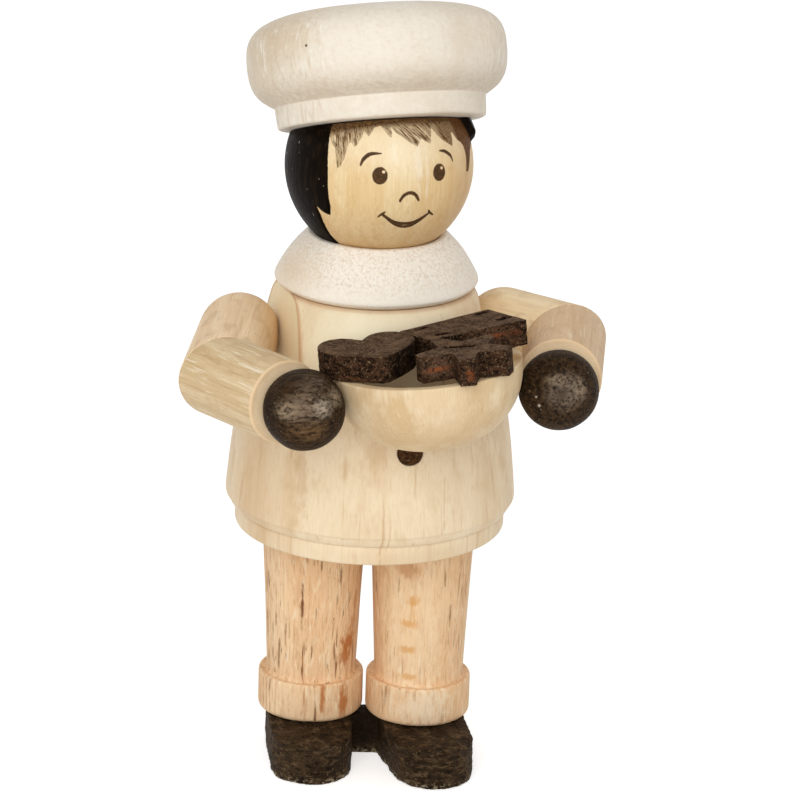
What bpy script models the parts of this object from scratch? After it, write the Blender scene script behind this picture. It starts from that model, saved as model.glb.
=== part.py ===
# Baker figurine of turned and sawn wood, glued up on pegs.
# Metres, +Z up. The figure faces -Y, so its right hand is at -X.
# Sizes below are in millimetres and become metres through MM.

import math

import bmesh
import bpy
from mathutils import Matrix, Vector

MM = 0.001

# Fits
GLUE = 0.10
PEG_CLEAR = 0.10
PEG_EASE = 0.3
SAW_SIZE = 60.0
CREASE = 50.0

# Shoes, sawn from one board and turned a little against the coat
SHOE_TALL = 4.0
SHOE_EDGE = 0.35
HEEL_R = 4.4
TOE_R = 3.95
TOE_LONG = 7.0
RIGHT_TOE_OUT = -0.45
LEFT_TOE_OUT = 1.82
BRIDGE_FRONT = -2.45
BRIDGE_BACK = 0.65
STANCE_TURN = -19.0

# Legs, turned with a cuff at the foot and a peg at both ends
LEG_GAP = 0.32
LEG_TOP_R = 5.15
LEG_LOW_R = 4.42
LEG_BOW = 0.24
CUFF_R = 5.2
CUFF_TALL = 4.1
CUFF_EASE = 0.5
CUFF_FOOT = 1.2
LEG_TALL = 20.2
LEG_PEG_R = 2.2
LEG_PEG_UP = 4.0
LEG_PEG_DOWN = 2.8

# Coat: top, widest girth and the plain ring under its hem
COAT_TALL = 24.35
COAT_TOP_R = 9.25
COAT_R = 14.15
GIRTH_UP = 4.0
RING_R = 13.2
RING_TALL = 1.85
RING_EASE = 0.4
HEM_ROLL = 0.5
# The coat's side, as shares of the way down to the girth and of the way out
COAT_CURVE = [(0.0, 0.0), (0.045, 0.165), (0.21, 0.385), (0.61, 0.80), (1.0, 1.0)]
FLAT_OUT = 9.68
FLAT_SPARE = 0.25

# Neck peg through the collar
NECK_R = 1.6
NECK_IN_COAT = 7.0
NECK_IN_HEAD = 5.0

# Collar ring with a dished top for the head
COLLAR_TALL = 5.1
COLLAR_R = 9.80
COLLAR_FOOT_R = 9.30
SEAT_R = 6.2
SEAT_LIP = 0.48
# The collar's side, as shares of its height and of the way out
COLLAR_CURVE = [(1.0, 0.0), (0.63, 0.55), (0.175, 0.994), (0.055, 0.955)]

# Head ball with a flat sawn for the hat
HEAD_R = 9.0
HAT_LEAN = 20.0
HAT_SEAT = 3.6
HAT_FORWARD = 1.75

# Hat: a band and a full crown turned from one piece
BAND_R = 10.0
BAND_TALL = 2.1
BAND_EASE = 0.25
CROWN_R = 12.48
CROWN_TALL = 9.0
CROWN_GIRTH = 3.8
CROWN_FULL = 3.3
# Under the crown's girth, as shares of the way out and of the way up from the band
CROWN_UNDER = [(0.95, 0.72), (0.84, 0.48), (0.64, 0.28), (0.39, 0.14), (0.06, 0.0)]

# Arms from dowel, mitred at the elbow, with ball hands on the bowl's sides
ARM_R = 3.95
SHOULDER_SAWN = 0.6
SHOULDER_BACK = {"right": 1.87, "left": -0.60}
SHOULDER_DOWN = {"right": 4.92, "left": 5.30}
ELBOW_OUT = {"right": 16.6, "left": 17.2}
ELBOW_FORWARD = {"right": 6.9, "left": 6.8}
ELBOW_DOWN = {"right": 5.95, "left": 5.25}
HAND_R = 3.80
HAND_OUT = 3.0
ARM_OVER_RIM = {"right": 1.98, "left": -0.12}
HAND_FORWARD = {"right": 9.4, "left": 8.1}
HAND_GAP = 0.15

# Bowl, turned thin and coped at the back to lie against the coat
BOWL_R = 9.02
BOWL_DEEP = 8.0
BOWL_WALL = 1.0
RIM_EASE = 0.15
BOWL_FULL = 2.25
BOWL_DOWN = 2.68
BOWL_RIGHT = 0.32
BOWL_COPED = 2.5
BOWL_LEAN_RIGHT = 5.0
BOWL_LEAN_BACK = 4.7

# Button peg in the coat's front
BUTTON_R = 1.23
BUTTON_LONG = 3.5
BUTTON_PROUD = 0.35
BUTTON_DOME = 0.12
BUTTON_UP = 11.2
BUTTON_RIGHT = 1.2

# Gingerbread sawn from thin board, lying on the bowl's rim
BREAD_TALL = 2.5
BREAD_EDGE = 0.18
HEART_GAP = 0.47
HEART_WIDE = 9.1
HEART_LONG = 8.8
HEART_BACK = -0.45
STAR_R = 4.6
STAR_WAIST = 0.52
STAR_BLUNT = 5.0
STAR_TURN = 251.0
STAR_AT = (1.9, -5.65)
BAR_LONG = 10.2
BAR_WIDE = 4.9
BAR_TALL = 2.3
BAR_TURN = 16.7
BAR_AT = (-0.38, 1.25)

# Facets round a turned piece
ROUND_BIG = 40
ROUND_MID = 28
ROUND_HAND = 24
ROUND_SMALL = 20


# Places that follow from the sizes

LEG_SPREAD = CUFF_R + LEG_GAP / 2.0
HEM_Z = SHOE_TALL + LEG_TALL
COAT_TOP = HEM_Z + COAT_TALL
COLLAR_Z = COAT_TOP + GLUE
SEAT_BALL = HEAD_R + GLUE
HEAD_Z = COLLAR_Z + COLLAR_TALL + math.sqrt(SEAT_BALL**2 - SEAT_R**2)
STANCE = Matrix.Rotation(math.radians(STANCE_TURN), 4, "Z")
SIDES = (("right", -1.0), ("left", 1.0))


# Scene and collections

for leftover in list(bpy.data.objects):
    bpy.data.objects.remove(leftover, do_unlink=True)

PARTS = bpy.data.collections.new("baker_figurine")
CUTTERS = bpy.data.collections.new("cutters")
bpy.context.scene.collection.children.link(PARTS)
bpy.context.scene.collection.children.link(CUTTERS)


# Helpers

def material(name, colour, roughness):
    made = bpy.data.materials.new(name)
    made.use_nodes = True
    shader = made.node_tree.nodes["Principled BSDF"]
    shader.inputs["Base Color"].default_value = (*colour, 1.0)
    shader.inputs["Roughness"].default_value = roughness
    shader.inputs["Metallic"].default_value = 0.0
    return made


def part(name, mesh, finish, place=None):
    obj = bpy.data.objects.new(name, mesh)
    PARTS.objects.link(obj)
    mesh.materials.append(finish)
    obj.matrix_world = place or Matrix.Identity(4)
    return obj


def cutter(name, data, place=None):
    obj = bpy.data.objects.new(name, data)
    CUTTERS.objects.link(obj)
    obj.hide_render = True
    obj.display_type = "WIRE"
    obj.matrix_world = place or Matrix.Identity(4)
    return obj


def at(point):
    return Matrix.Translation(Vector(point) * MM)


def along(point, direction):
    """A place at the point, with its own Z along the direction."""
    return at(point) @ Vector(direction).to_track_quat("Z", "Y").to_matrix().to_4x4()


def smooth(points, each):
    """Points on a smooth open line through the points given, both ends kept."""
    ends = [Vector(points[0])] + [Vector(p) for p in points] + [Vector(points[-1])]
    line = []
    for before, start, stop, after in zip(ends, ends[1:], ends[2:], ends[3:]):
        for step in range(each):
            t = step / each
            line.append(
                start * (2 * t**3 - 3 * t**2 + 1)
                + (stop - before) * 0.5 * (t**3 - 2 * t**2 + t)
                + stop * (3 * t**2 - 2 * t**3)
                + (after - start) * 0.5 * (t**3 - t**2)
            )
    return [tuple(p) for p in line] + [tuple(points[-1])]


def oval(wide, tall, power, steps):
    """A quarter of a squarish oval, from its side at (wide, 0) to its end at (0, tall)."""
    line = []
    for step in range(steps + 1):
        angle = math.pi / 2.0 * step / steps
        out = max(math.cos(angle), 0.0) ** (2.0 / power)
        line.append((wide * out, tall * math.sin(angle) ** (2.0 / power)))
    line[-1] = (0.0, tall)
    return line


def profile(name, points):
    """A line of (radius, height) points at +X, top first, ready for the lathe."""
    mesh = bpy.data.meshes.new(name)
    shape = bmesh.new()
    verts = [shape.verts.new((radius * MM, 0.0, height * MM)) for radius, height in points]
    for first, second in zip(verts, verts[1:]):
        shape.edges.new((first, second))
    shape.to_mesh(mesh)
    shape.free()
    return mesh


def lathe(obj, steps):
    screw = obj.modifiers.new("lathe", "SCREW")
    screw.axis = "Z"
    screw.angle = 2.0 * math.pi
    screw.steps = steps
    screw.render_steps = steps
    screw.use_merge_vertices = True
    screw.merge_threshold = 0.00001
    screw.use_smooth_shade = True
    return obj


def turned(name, points, finish, place, steps):
    return lathe(part(name, profile(name, points), finish, place), steps)


def boolean(obj, tool, operation="DIFFERENCE"):
    modifier = obj.modifiers.new(operation.lower() + " " + tool.name, "BOOLEAN")
    modifier.operation = operation
    modifier.solver = "EXACT"
    modifier.object = tool
    return obj


def drill(name, radius, low, high, steps, place=None):
    """A round cutter from low to high along its own Z."""
    points = [(0.0, high), (radius, high), (radius, low), (0.0, low)]
    return lathe(cutter(name, profile(name, points), place), steps)


def peg_end(radius, height, towards):
    """The eased end of a peg, from its face to its side or back."""
    line = [(0.0, height), (radius - PEG_EASE, height), (radius, height - towards * PEG_EASE)]
    return line if towards > 0 else line[::-1]


def saw(name, point, normal):
    """A block cutter that takes all on the normal's side of the point."""
    mesh = bpy.data.meshes.new(name)
    shape = bmesh.new()
    bmesh.ops.create_cube(shape, size=SAW_SIZE * MM)
    bmesh.ops.translate(shape, verts=shape.verts, vec=(0.0, 0.0, SAW_SIZE * MM / 2.0))
    shape.to_mesh(mesh)
    shape.free()
    return cutter(name, mesh, along(point, normal))


def ball(name, radius, around):
    mesh = bpy.data.meshes.new(name)
    shape = bmesh.new()
    rings = around // 2 + 2
    bmesh.ops.create_uvsphere(shape, u_segments=around, v_segments=rings, radius=radius * MM)
    shape.to_mesh(mesh)
    shape.free()
    mesh.shade_smooth()
    return mesh


def board(name, outline, thick):
    """A sawn board: a flat filled outline from its own Z zero up to its thickness."""
    curve = bpy.data.curves.new(name, "CURVE")
    curve.dimensions = "2D"
    curve.fill_mode = "BOTH"
    curve.extrude = thick * MM / 2.0
    spline = curve.splines.new("POLY")
    spline.points.add(len(outline) - 1)
    for spot, point in zip(spline.points, outline):
        spot.co = (point[0] * MM, point[1] * MM, 0.0, 1.0)
    spline.use_cyclic_u = True
    holder = cutter(name + " outline", curve)
    bpy.context.view_layer.update()
    ready = holder.evaluated_get(bpy.context.evaluated_depsgraph_get())
    mesh = bpy.data.meshes.new_from_object(ready)
    bpy.data.objects.remove(holder, do_unlink=True)
    shape = bmesh.new()
    shape.from_mesh(mesh)
    bmesh.ops.remove_doubles(shape, verts=shape.verts, dist=0.000001)
    bmesh.ops.recalc_face_normals(shape, faces=shape.faces)
    bmesh.ops.translate(shape, verts=shape.verts, vec=(0.0, 0.0, thick * MM / 2.0))
    shape.to_mesh(mesh)
    shape.free()
    return mesh


def ease(obj, width, segments):
    bevel = obj.modifiers.new("eased edges", "BEVEL")
    bevel.width = width * MM
    bevel.segments = segments
    bevel.limit_method = "ANGLE"
    bevel.angle_limit = math.radians(CREASE)
    return obj


def belt(first, first_r, second, second_r, steps):
    """The outline round two circles and the straight sides between them."""
    first, second = Vector(first), Vector(second)
    way = second - first
    heading = math.atan2(way.y, way.x)
    lean = math.acos((first_r - second_r) / way.length)
    line = []
    for middle, radius, start, sweep in (
        (second, second_r, heading - lean, 2.0 * lean),
        (first, first_r, heading + lean, 2.0 * (math.pi - lean)),
    ):
        for step in range(steps + 1):
            angle = start + sweep * step / steps
            line.append(middle + radius * Vector((math.cos(angle), math.sin(angle))))
    return line


# Finishes

PALE_WOOD = material("pale turned wood", (0.76, 0.58, 0.38), 0.45)
HEAD_WOOD = material("head ball wood", (0.76, 0.55, 0.29), 0.42)
BEECH = material("beech", (0.68, 0.43, 0.24), 0.50)
ARM_WOOD = material("arm dowel wood", (0.64, 0.46, 0.31), 0.55)
WHITE_GLAZE = material("white glaze", (0.80, 0.73, 0.64), 0.40)
DARK_STAIN = material("dark stain", (0.035, 0.025, 0.019), 0.35)
SHOE_STAIN = material("shoe stain", (0.026, 0.019, 0.014), 0.45)
BREAD = material("gingerbread board", (0.072, 0.042, 0.028), 0.70)


# Shoes: two soles and the bridge between the heels, in one piece

def shoe_outline(side, toe_out):
    heel = (side * LEG_SPREAD, 0.0)
    toe = (side * (LEG_SPREAD + toe_out), -TOE_LONG)
    return belt(heel, HEEL_R, toe, TOE_R, 12)


def make_shoes():
    shoes = part("shoes", board("shoes", shoe_outline(-1.0, RIGHT_TOE_OUT), SHOE_TALL), SHOE_STAIN, STANCE)
    other = board("left shoe", shoe_outline(1.0, LEFT_TOE_OUT), SHOE_TALL)
    bridge = board(
        "shoe bridge",
        [
            (-LEG_SPREAD, BRIDGE_FRONT),
            (LEG_SPREAD, BRIDGE_FRONT),
            (LEG_SPREAD, BRIDGE_BACK),
            (-LEG_SPREAD, BRIDGE_BACK),
        ],
        SHOE_TALL,
    )
    boolean(shoes, cutter("left shoe", other, STANCE), "UNION")
    boolean(shoes, cutter("shoe bridge", bridge, STANCE), "UNION")
    ease(shoes, SHOE_EDGE, 2)
    for name, side in SIDES:
        hole = STANCE @ at((side * LEG_SPREAD, 0.0, SHOE_TALL))
        radius = LEG_PEG_R + PEG_CLEAR
        deep = LEG_PEG_DOWN + PEG_CLEAR
        boolean(shoes, drill(name + " shoe hole", radius, -deep, SHOE_TALL, ROUND_MID, hole))


# Legs: peg, tapered shaft, cuff and peg

def make_legs():
    tall = LEG_TALL - 2.0 * GLUE
    middle = (LEG_LOW_R + LEG_BOW, tall * 0.5)
    shaft = smooth([(LEG_TOP_R, tall), middle, (LEG_LOW_R, CUFF_TALL + CUFF_EASE * 0.6)], 2)
    cuff = [
        (LEG_LOW_R + CUFF_EASE * 0.5, CUFF_TALL),
        (CUFF_R - CUFF_EASE * 0.5, CUFF_TALL),
        (CUFF_R, CUFF_TALL - CUFF_EASE),
        (CUFF_R, CUFF_FOOT),
        (CUFF_R - CUFF_EASE * 0.25, CUFF_FOOT * 0.45),
        (CUFF_R - CUFF_EASE * 0.9, 0.0),
    ]
    line = peg_end(LEG_PEG_R, tall + LEG_PEG_UP, 1.0) + [(LEG_PEG_R, tall)] + shaft + cuff
    line += [(LEG_PEG_R, 0.0)] + peg_end(LEG_PEG_R, -LEG_PEG_DOWN, -1.0)
    for name, side in SIDES:
        foot = STANCE @ at((side * LEG_SPREAD, 0.0, SHOE_TALL + GLUE))
        turned(name + "_leg", line, BEECH, foot, ROUND_MID)


# Coat: a full skirted shape with a ring under its hem and two flats for the arms

def coat_side():
    """The coat's outer line from its top edge to the girth, the roll and the ring."""
    rise = COAT_TALL - GIRTH_UP
    out = COAT_R - COAT_TOP_R
    side = [(COAT_TOP_R + share * out, COAT_TALL - down * rise) for down, share in COAT_CURVE]
    roll = [
        (COAT_R - HEM_ROLL * 0.26, (GIRTH_UP + RING_TALL) / 2.0),
        (COAT_R - HEM_ROLL, RING_TALL + HEM_ROLL * 0.6),
        (RING_R - RING_EASE * 0.2, RING_TALL),
    ]
    return smooth(side + roll, 3)


def coat_radius(height):
    """The coat's radius and its side's slope at a height above the hem."""
    line = coat_side()
    for (top_r, top), (low_r, low) in zip(line, line[1:]):
        if low <= height <= top:
            share = (top - height) / (top - low)
            return top_r + (low_r - top_r) * share, math.atan2(low_r - top_r, top - low)
    return COAT_TOP_R, 0.0


def arm_spots(name, side):
    """The shoulder's ball centre, the elbow's mitre and the hand's centre."""
    shoulder = Vector((
        side * (FLAT_OUT + GLUE + ARM_R - SHOULDER_SAWN),
        SHOULDER_BACK[name],
        COAT_TOP - SHOULDER_DOWN[name],
    ))
    elbow = Vector((side * ELBOW_OUT[name], -ELBOW_FORWARD[name], COAT_TOP - ELBOW_DOWN[name]))
    clear = HAND_R + HAND_GAP
    down = ARM_R - ARM_OVER_RIM[name]
    reach = max(
        radius + math.sqrt(max(clear**2 - (down + height) ** 2, 0.0))
        for radius, height in bowl_outside()
    )
    forward = math.radians(HAND_FORWARD[name])
    way = side * math.cos(forward) * BOWL_SIDE - math.sin(forward) * BOWL_BACK
    hand = BOWL_MIDDLE - BOWL_UP * down + reach * way
    return shoulder, elbow, hand


def make_coat(neck_hole):
    ring = [
        (RING_R, RING_TALL - RING_EASE * 0.4),
        (RING_R, RING_EASE * 1.5),
        (RING_R - RING_EASE * 0.3, RING_EASE * 0.6),
        (RING_R - RING_EASE, 0.0),
    ]
    line = [(0.0, COAT_TALL)] + coat_side() + ring + [(0.0, 0.0)]
    coat = turned("coat_body", line, PALE_WOOD, at((0.0, 0.0, HEM_Z)), ROUND_BIG)
    boolean(coat, neck_hole)
    boolean(coat, button_hole())
    for name, side in SIDES:
        hole = STANCE @ at((side * LEG_SPREAD, 0.0, HEM_Z))
        radius = LEG_PEG_R + PEG_CLEAR
        boolean(coat, drill(name + " leg hole", radius, -HEM_Z / 2.0, LEG_PEG_UP, ROUND_MID, hole))
        shoulder, elbow, _ = arm_spots(name, side)
        ledge = min(shoulder.z, elbow.z) - ARM_R - FLAT_SPARE
        corner = (side * FLAT_OUT, 0.0, ledge + SAW_SIZE / 2.0)
        boolean(coat, saw(name + " arm flat", corner, (side, 0.0, 0.0)))


# Neck peg, collar, head and hat

def neck_ends():
    return COAT_TOP - NECK_IN_COAT, HEAD_Z - HEAD_R + NECK_IN_HEAD


def make_neck():
    low, high = neck_ends()
    line = peg_end(NECK_R, high, 1.0) + peg_end(NECK_R, low, -1.0)
    turned("neck_dowel", line, BEECH, at((0.0, 0.0, 0.0)), ROUND_MID)


def make_collar(neck_hole):
    top = SEAT_R + SEAT_LIP
    side = [(top + share * (COLLAR_R - top), COLLAR_TALL * tall) for tall, share in COLLAR_CURVE]
    line = [(0.0, COLLAR_TALL)] + smooth(side + [(COLLAR_FOOT_R, 0.0)], 3) + [(0.0, 0.0)]
    collar = turned("collar", line, WHITE_GLAZE, at((0.0, 0.0, COLLAR_Z)), ROUND_BIG)
    seat = cutter("head seat", ball("head seat", SEAT_BALL, ROUND_BIG), at((0.0, 0.0, HEAD_Z)))
    boolean(collar, seat)
    boolean(collar, neck_hole)


def make_head_and_hat(neck_hole):
    middle = Vector((0.0, 0.0, HEAD_Z))
    lean = math.radians(HAT_LEAN)
    up = Vector((0.0, math.sin(lean), math.cos(lean)))
    forward = Vector((0.0, -math.cos(lean), math.sin(lean)))
    head = part("head", ball("head", HEAD_R, ROUND_BIG), HEAD_WOOD, at(middle))
    boolean(head, neck_hole)
    boolean(head, saw("hat seat", middle + up * HAT_SEAT, up))

    girth = BAND_TALL + CROWN_GIRTH
    dome = oval(CROWN_R, CROWN_TALL - CROWN_GIRTH, CROWN_FULL, 11)
    over = [(radius, girth + height) for radius, height in reversed(dome)]
    under = [
        (BAND_R + (CROWN_R - BAND_R) * share, BAND_TALL + CROWN_GIRTH * height)
        for share, height in CROWN_UNDER
    ]
    band = [
        (BAND_R + BAND_EASE * 0.4, BAND_TALL - BAND_EASE * 0.6),
        (BAND_R, BAND_EASE * 1.4),
        (BAND_R - BAND_EASE, 0.0),
        (0.0, 0.0),
    ]
    foot = middle + up * (HAT_SEAT + GLUE) + forward * HAT_FORWARD
    turned("hat", over + under + band, WHITE_GLAZE, along(foot, up), ROUND_BIG)


# Arms: ball end sawn flat at the coat, mitre at the elbow, dish for the hand

def make_arm(name, side):
    shoulder, elbow, hand = arm_spots(name, side)
    back = (shoulder - elbow).normalized()
    fore = (hand - elbow).normalized()
    mitre = (fore - back).normalized()
    spare = 2.0 * ARM_R
    upper = (shoulder - elbow).length
    reach = (hand - elbow).length - HAND_OUT

    round_end = [(radius, upper + height) for radius, height in reversed(oval(ARM_R, ARM_R, 2.0, 7))]
    line = round_end + [(ARM_R, -spare), (0.0, -spare)]
    over = turned(name + "_upper_arm", line, ARM_WOOD, along(elbow, back), ROUND_MID)
    boolean(over, saw(name + " elbow back", elbow - mitre * GLUE / 2.0, mitre))
    boolean(over, saw(name + " shoulder", (side * (FLAT_OUT + GLUE), 0.0, shoulder.z), (-side, 0.0, 0.0)))

    line = peg_end(ARM_R, reach, 1.0) + [(ARM_R, -spare), (0.0, -spare)]
    under = turned(name + "_forearm", line, ARM_WOOD, along(elbow, fore), ROUND_MID)
    boolean(under, saw(name + " elbow front", elbow + mitre * GLUE / 2.0, -mitre))
    dish = ball(name + " hand dish", HAND_R + GLUE, ROUND_MID)
    boolean(under, cutter(name + " hand dish", dish, along(hand, fore)))
    part(name + "_hand", ball(name + "_hand", HAND_R, ROUND_HAND), DARK_STAIN, along(hand, fore))


# Bowl, leaning a little to the figure's right and back

BOWL_UP = Vector((
    -math.tan(math.radians(BOWL_LEAN_RIGHT)),
    math.tan(math.radians(BOWL_LEAN_BACK)),
    1.0,
)).normalized()
BOWL_SIDE = (Vector((1.0, 0.0, 0.0)) - BOWL_UP * BOWL_UP.x).normalized()
BOWL_BACK = BOWL_UP.cross(BOWL_SIDE)
BOWL_MIDDLE = Vector((
    -BOWL_RIGHT,
    BOWL_COPED - BOWL_R - coat_radius(COAT_TALL - BOWL_DOWN)[0],
    COAT_TOP - BOWL_DOWN,
))
BOWL = at(BOWL_MIDDLE) @ Matrix((BOWL_SIDE, BOWL_BACK, BOWL_UP)).transposed().to_4x4()


def bowl_outside():
    """The bowl's outer line, from its rim down to the axis."""
    return [(radius, -height) for radius, height in oval(BOWL_R, BOWL_DEEP, BOWL_FULL, 11)]


def make_bowl():
    inner_r = BOWL_R - BOWL_WALL
    inside = [(radius, -height) for radius, height in oval(inner_r, BOWL_DEEP - BOWL_WALL, BOWL_FULL, 8)]
    rim = [(BOWL_R - RIM_EASE, 0.0), (BOWL_R, -RIM_EASE)]
    bowl = turned("bowl", inside[::-1] + rim + bowl_outside()[1:], PALE_WOOD, BOWL, ROUND_BIG)
    room = [(radius + GLUE, height) for radius, height in coat_side()]
    above = COAT_TALL + BOWL_DEEP
    line = [(0.0, above), (COAT_TOP_R + GLUE, above)] + room + [(0.0, RING_TALL)]
    cope = cutter("bowl cope", profile("bowl cope", line), at((0.0, 0.0, HEM_Z)))
    boolean(bowl, lathe(cope, ROUND_BIG))


# Button peg, square to the coat's side

def button_place():
    out, rise = coat_radius(BUTTON_UP)
    turn = Matrix.Rotation(math.radians(-BUTTON_RIGHT), 3, "Z")
    way = turn @ Vector((0.0, -math.cos(rise), math.sin(rise)))
    return along(turn @ Vector((0.0, -out, HEM_Z + BUTTON_UP)), way)


def button_hole():
    deep = BUTTON_LONG + PEG_CLEAR
    return drill("button hole", BUTTON_R + PEG_CLEAR, -deep, BUTTON_LONG, ROUND_SMALL, button_place())


def make_button():
    dome = [
        (0.0, BUTTON_PROUD + BUTTON_DOME),
        (BUTTON_R * 0.6, BUTTON_PROUD + BUTTON_DOME * 0.6),
        (BUTTON_R, BUTTON_PROUD - BUTTON_DOME),
    ]
    line = dome + [(BUTTON_R, -BUTTON_LONG), (0.0, -BUTTON_LONG)]
    turned("button", line, DARK_STAIN, button_place(), ROUND_SMALL)


# Gingerbread: a heart, a star and a bar

def heart_outline():
    half = [
        (0.0, 0.29),
        (0.15, 0.40),
        (0.38, 0.495),
        (0.66, 0.485),
        (0.90, 0.365),
        (1.0, 0.175),
        (0.94, 0.0),
        (0.74, -0.165),
        (0.40, -0.345),
        (0.06, -0.50),
    ]
    right = [(x * HEART_WIDE / 2.0, y * HEART_LONG) for x, y in half]
    return [(-x, y) for x, y in right[1:]] + right[:0:-1] + right[:1]


def star_outline():
    line = []
    for point in range(5):
        for swing, radius in ((-STAR_BLUNT, 1.0), (STAR_BLUNT, 1.0), (36.0, STAR_WAIST)):
            angle = math.radians(STAR_TURN + 72.0 * point + swing)
            line.append((STAR_R * radius * math.cos(angle), STAR_R * radius * math.sin(angle)))
    return line


def bar_outline():
    wide = BAR_WIDE / 2.0
    return [(0.0, -wide), (BAR_LONG, -wide), (BAR_LONG, wide), (0.0, wide)]


def make_bread():
    bar_place = at((*BAR_AT, GLUE)) @ Matrix.Rotation(math.radians(BAR_TURN), 4, "Z")
    heart_place = at((BAR_AT[0] - HEART_GAP - HEART_WIDE / 2.0, HEART_BACK, GLUE))
    star_place = at((*STAR_AT, GLUE))
    for name, outline, place, thick in (
        ("gingerbread_heart", heart_outline(), heart_place, BREAD_TALL),
        ("gingerbread_star", star_outline(), star_place, BREAD_TALL),
        ("gingerbread_bar", bar_outline(), bar_place, BAR_TALL),
    ):
        ease(part(name, board(name, outline, thick), BREAD, BOWL @ place), BREAD_EDGE, 1)


# Assembly

neck_low, neck_high = neck_ends()
neck_drill = drill(
    "neck hole",
    NECK_R + PEG_CLEAR,
    neck_low - PEG_CLEAR,
    neck_high + PEG_CLEAR,
    ROUND_MID,
)
make_shoes()
make_legs()
make_coat(neck_drill)
make_button()
make_neck()
make_collar(neck_drill)
make_head_and_hat(neck_drill)
make_bowl()
make_bread()
for arm_name, arm_side in SIDES:
    make_arm(arm_name, arm_side)


# The origin goes to the middle of the figure's box, on the ground

def box_corners():
    bpy.context.view_layer.update()
    graph = bpy.context.evaluated_depsgraph_get()
    spots = []
    for obj in PARTS.objects:
        ready = obj.evaluated_get(graph)
        spots += [ready.matrix_world @ vertex.co for vertex in ready.data.vertices]
    return [(min(s[i] for s in spots), max(s[i] for s in spots)) for i in range(3)]


(left, right), (front, back), (ground, _) = box_corners()
shift = Matrix.Translation((-(left + right) / 2.0, -(front + back) / 2.0, -ground))
for obj in list(PARTS.objects) + list(CUTTERS.objects):
    obj.matrix_world = shift @ obj.matrix_world
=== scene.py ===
# Looks of the turned wooden baker figurine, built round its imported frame.
# Sizes are in millimetres and become metres through MM. Each turned piece is built round its own Z and
# then set in place, so that its grain, brush marks and wear follow the piece.

import itertools
import math

import bmesh
import bpy
import numpy as np
from mathutils import Matrix, Vector


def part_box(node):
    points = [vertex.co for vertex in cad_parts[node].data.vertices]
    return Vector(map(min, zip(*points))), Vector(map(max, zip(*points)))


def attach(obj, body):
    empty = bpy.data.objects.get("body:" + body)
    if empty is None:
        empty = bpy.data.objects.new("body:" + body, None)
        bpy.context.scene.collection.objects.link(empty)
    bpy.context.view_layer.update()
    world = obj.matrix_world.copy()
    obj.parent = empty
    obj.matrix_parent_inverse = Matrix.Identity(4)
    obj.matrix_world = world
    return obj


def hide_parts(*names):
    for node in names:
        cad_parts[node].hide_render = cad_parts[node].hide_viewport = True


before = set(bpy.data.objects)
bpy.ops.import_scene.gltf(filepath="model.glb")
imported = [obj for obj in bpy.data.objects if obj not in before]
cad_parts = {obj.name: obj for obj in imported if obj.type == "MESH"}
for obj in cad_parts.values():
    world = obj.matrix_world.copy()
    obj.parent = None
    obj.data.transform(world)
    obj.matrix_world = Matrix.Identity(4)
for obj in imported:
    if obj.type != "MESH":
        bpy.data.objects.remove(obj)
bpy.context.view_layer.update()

MM = 0.001

# Sizes, most of which the frame's solids have too
GLUE = 0.10
PEG_CLEAR = 0.10
PEG_EASE = 0.3

SHOE_TALL = 4.0
STANCE_TURN = -19.0

LEG_SPREAD = 5.36
LEG_TOP_R = 5.15
LEG_LOW_R = 4.42
LEG_BOW = 0.24
LEG_TALL = 20.2
LEG_PEG_R = 2.2
LEG_PEG_UP = 4.0
LEG_PEG_DOWN = 2.8
CUFF_R = 5.2
CUFF_TALL = 4.1
# How far above the cuff the leg's shaft ends, and the step down from it into the cuff's top
SHAFT_ABOVE = 0.3
CUFF_STEP = (0.16, 0.12)
LEG_EASE = 0.1
CUFF_TOP_EASE = 0.45
CUFF_FOOT_EASE = 0.6

COAT_TALL = 24.35
COAT_TOP_R = 9.25
COAT_R = 14.15
GIRTH_UP = 4.0
RING_R = 13.25
RING_TALL = 1.85
RING_EASE = 0.3
HEM_ROLL = 0.5
COAT_CURVE = [(0.0, 0.0), (0.045, 0.165), (0.21, 0.385), (0.61, 0.80), (1.0, 1.0)]
FLAT_OUT = 9.14
FLAT_LEAN = 0.066
FLAT_FROM = 23.4
FLAT_SPARE = 0.25
# The least half width of a flat in degrees, and half the height of the step at its foot
FLAT_LEAST = 5.0
LEDGE_HALF = 0.02
# Nothing nearer the axis than this is sawn, and a point so near a flat or its edge lies on it
FLAT_BEYOND = 7.0
NEAR_FLAT = 0.04
NEAR_EDGE = 0.02
SAW_EDGE = 0.42
# How far out from the flat the painted shadow on each upper arm's shoulder reaches
SHOULDER_SHADOW_REACH = 3.4
# How far the right shoulder's saw cut stands off at its front, for each mm to the front
SHOULDER_TURN = {"right": 0.20, "left": 0.0}

NECK_R = 1.6
NECK_IN_COAT = 7.0
NECK_IN_HEAD = 5.0

COLLAR_TALL = 5.1
COLLAR_R = 9.80
COLLAR_FOOT_R = 9.30
SEAT_R = 6.2
SEAT_LIP = 0.48
COLLAR_CURVE = [(1.0, 0.0), (0.63, 0.55), (0.175, 0.994), (0.055, 0.955)]

HEAD_R = 9.0
HAT_LEAN = 20.0
HAT_SEAT = 3.6
HAT_FORWARD = 1.75
BAND_R = 10.0
BAND_TALL = 2.1
BAND_FLARE = 0.12
BAND_EASE = 0.35
CROWN_R = 12.48
CROWN_TALL = 9.0
CROWN_GIRTH = 3.8
CROWN_FULL = 3.6
CROWN_UNDER = [(0.95, 0.72), (0.84, 0.48), (0.64, 0.28), (0.39, 0.14), (0.06, 0.0)]

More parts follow.
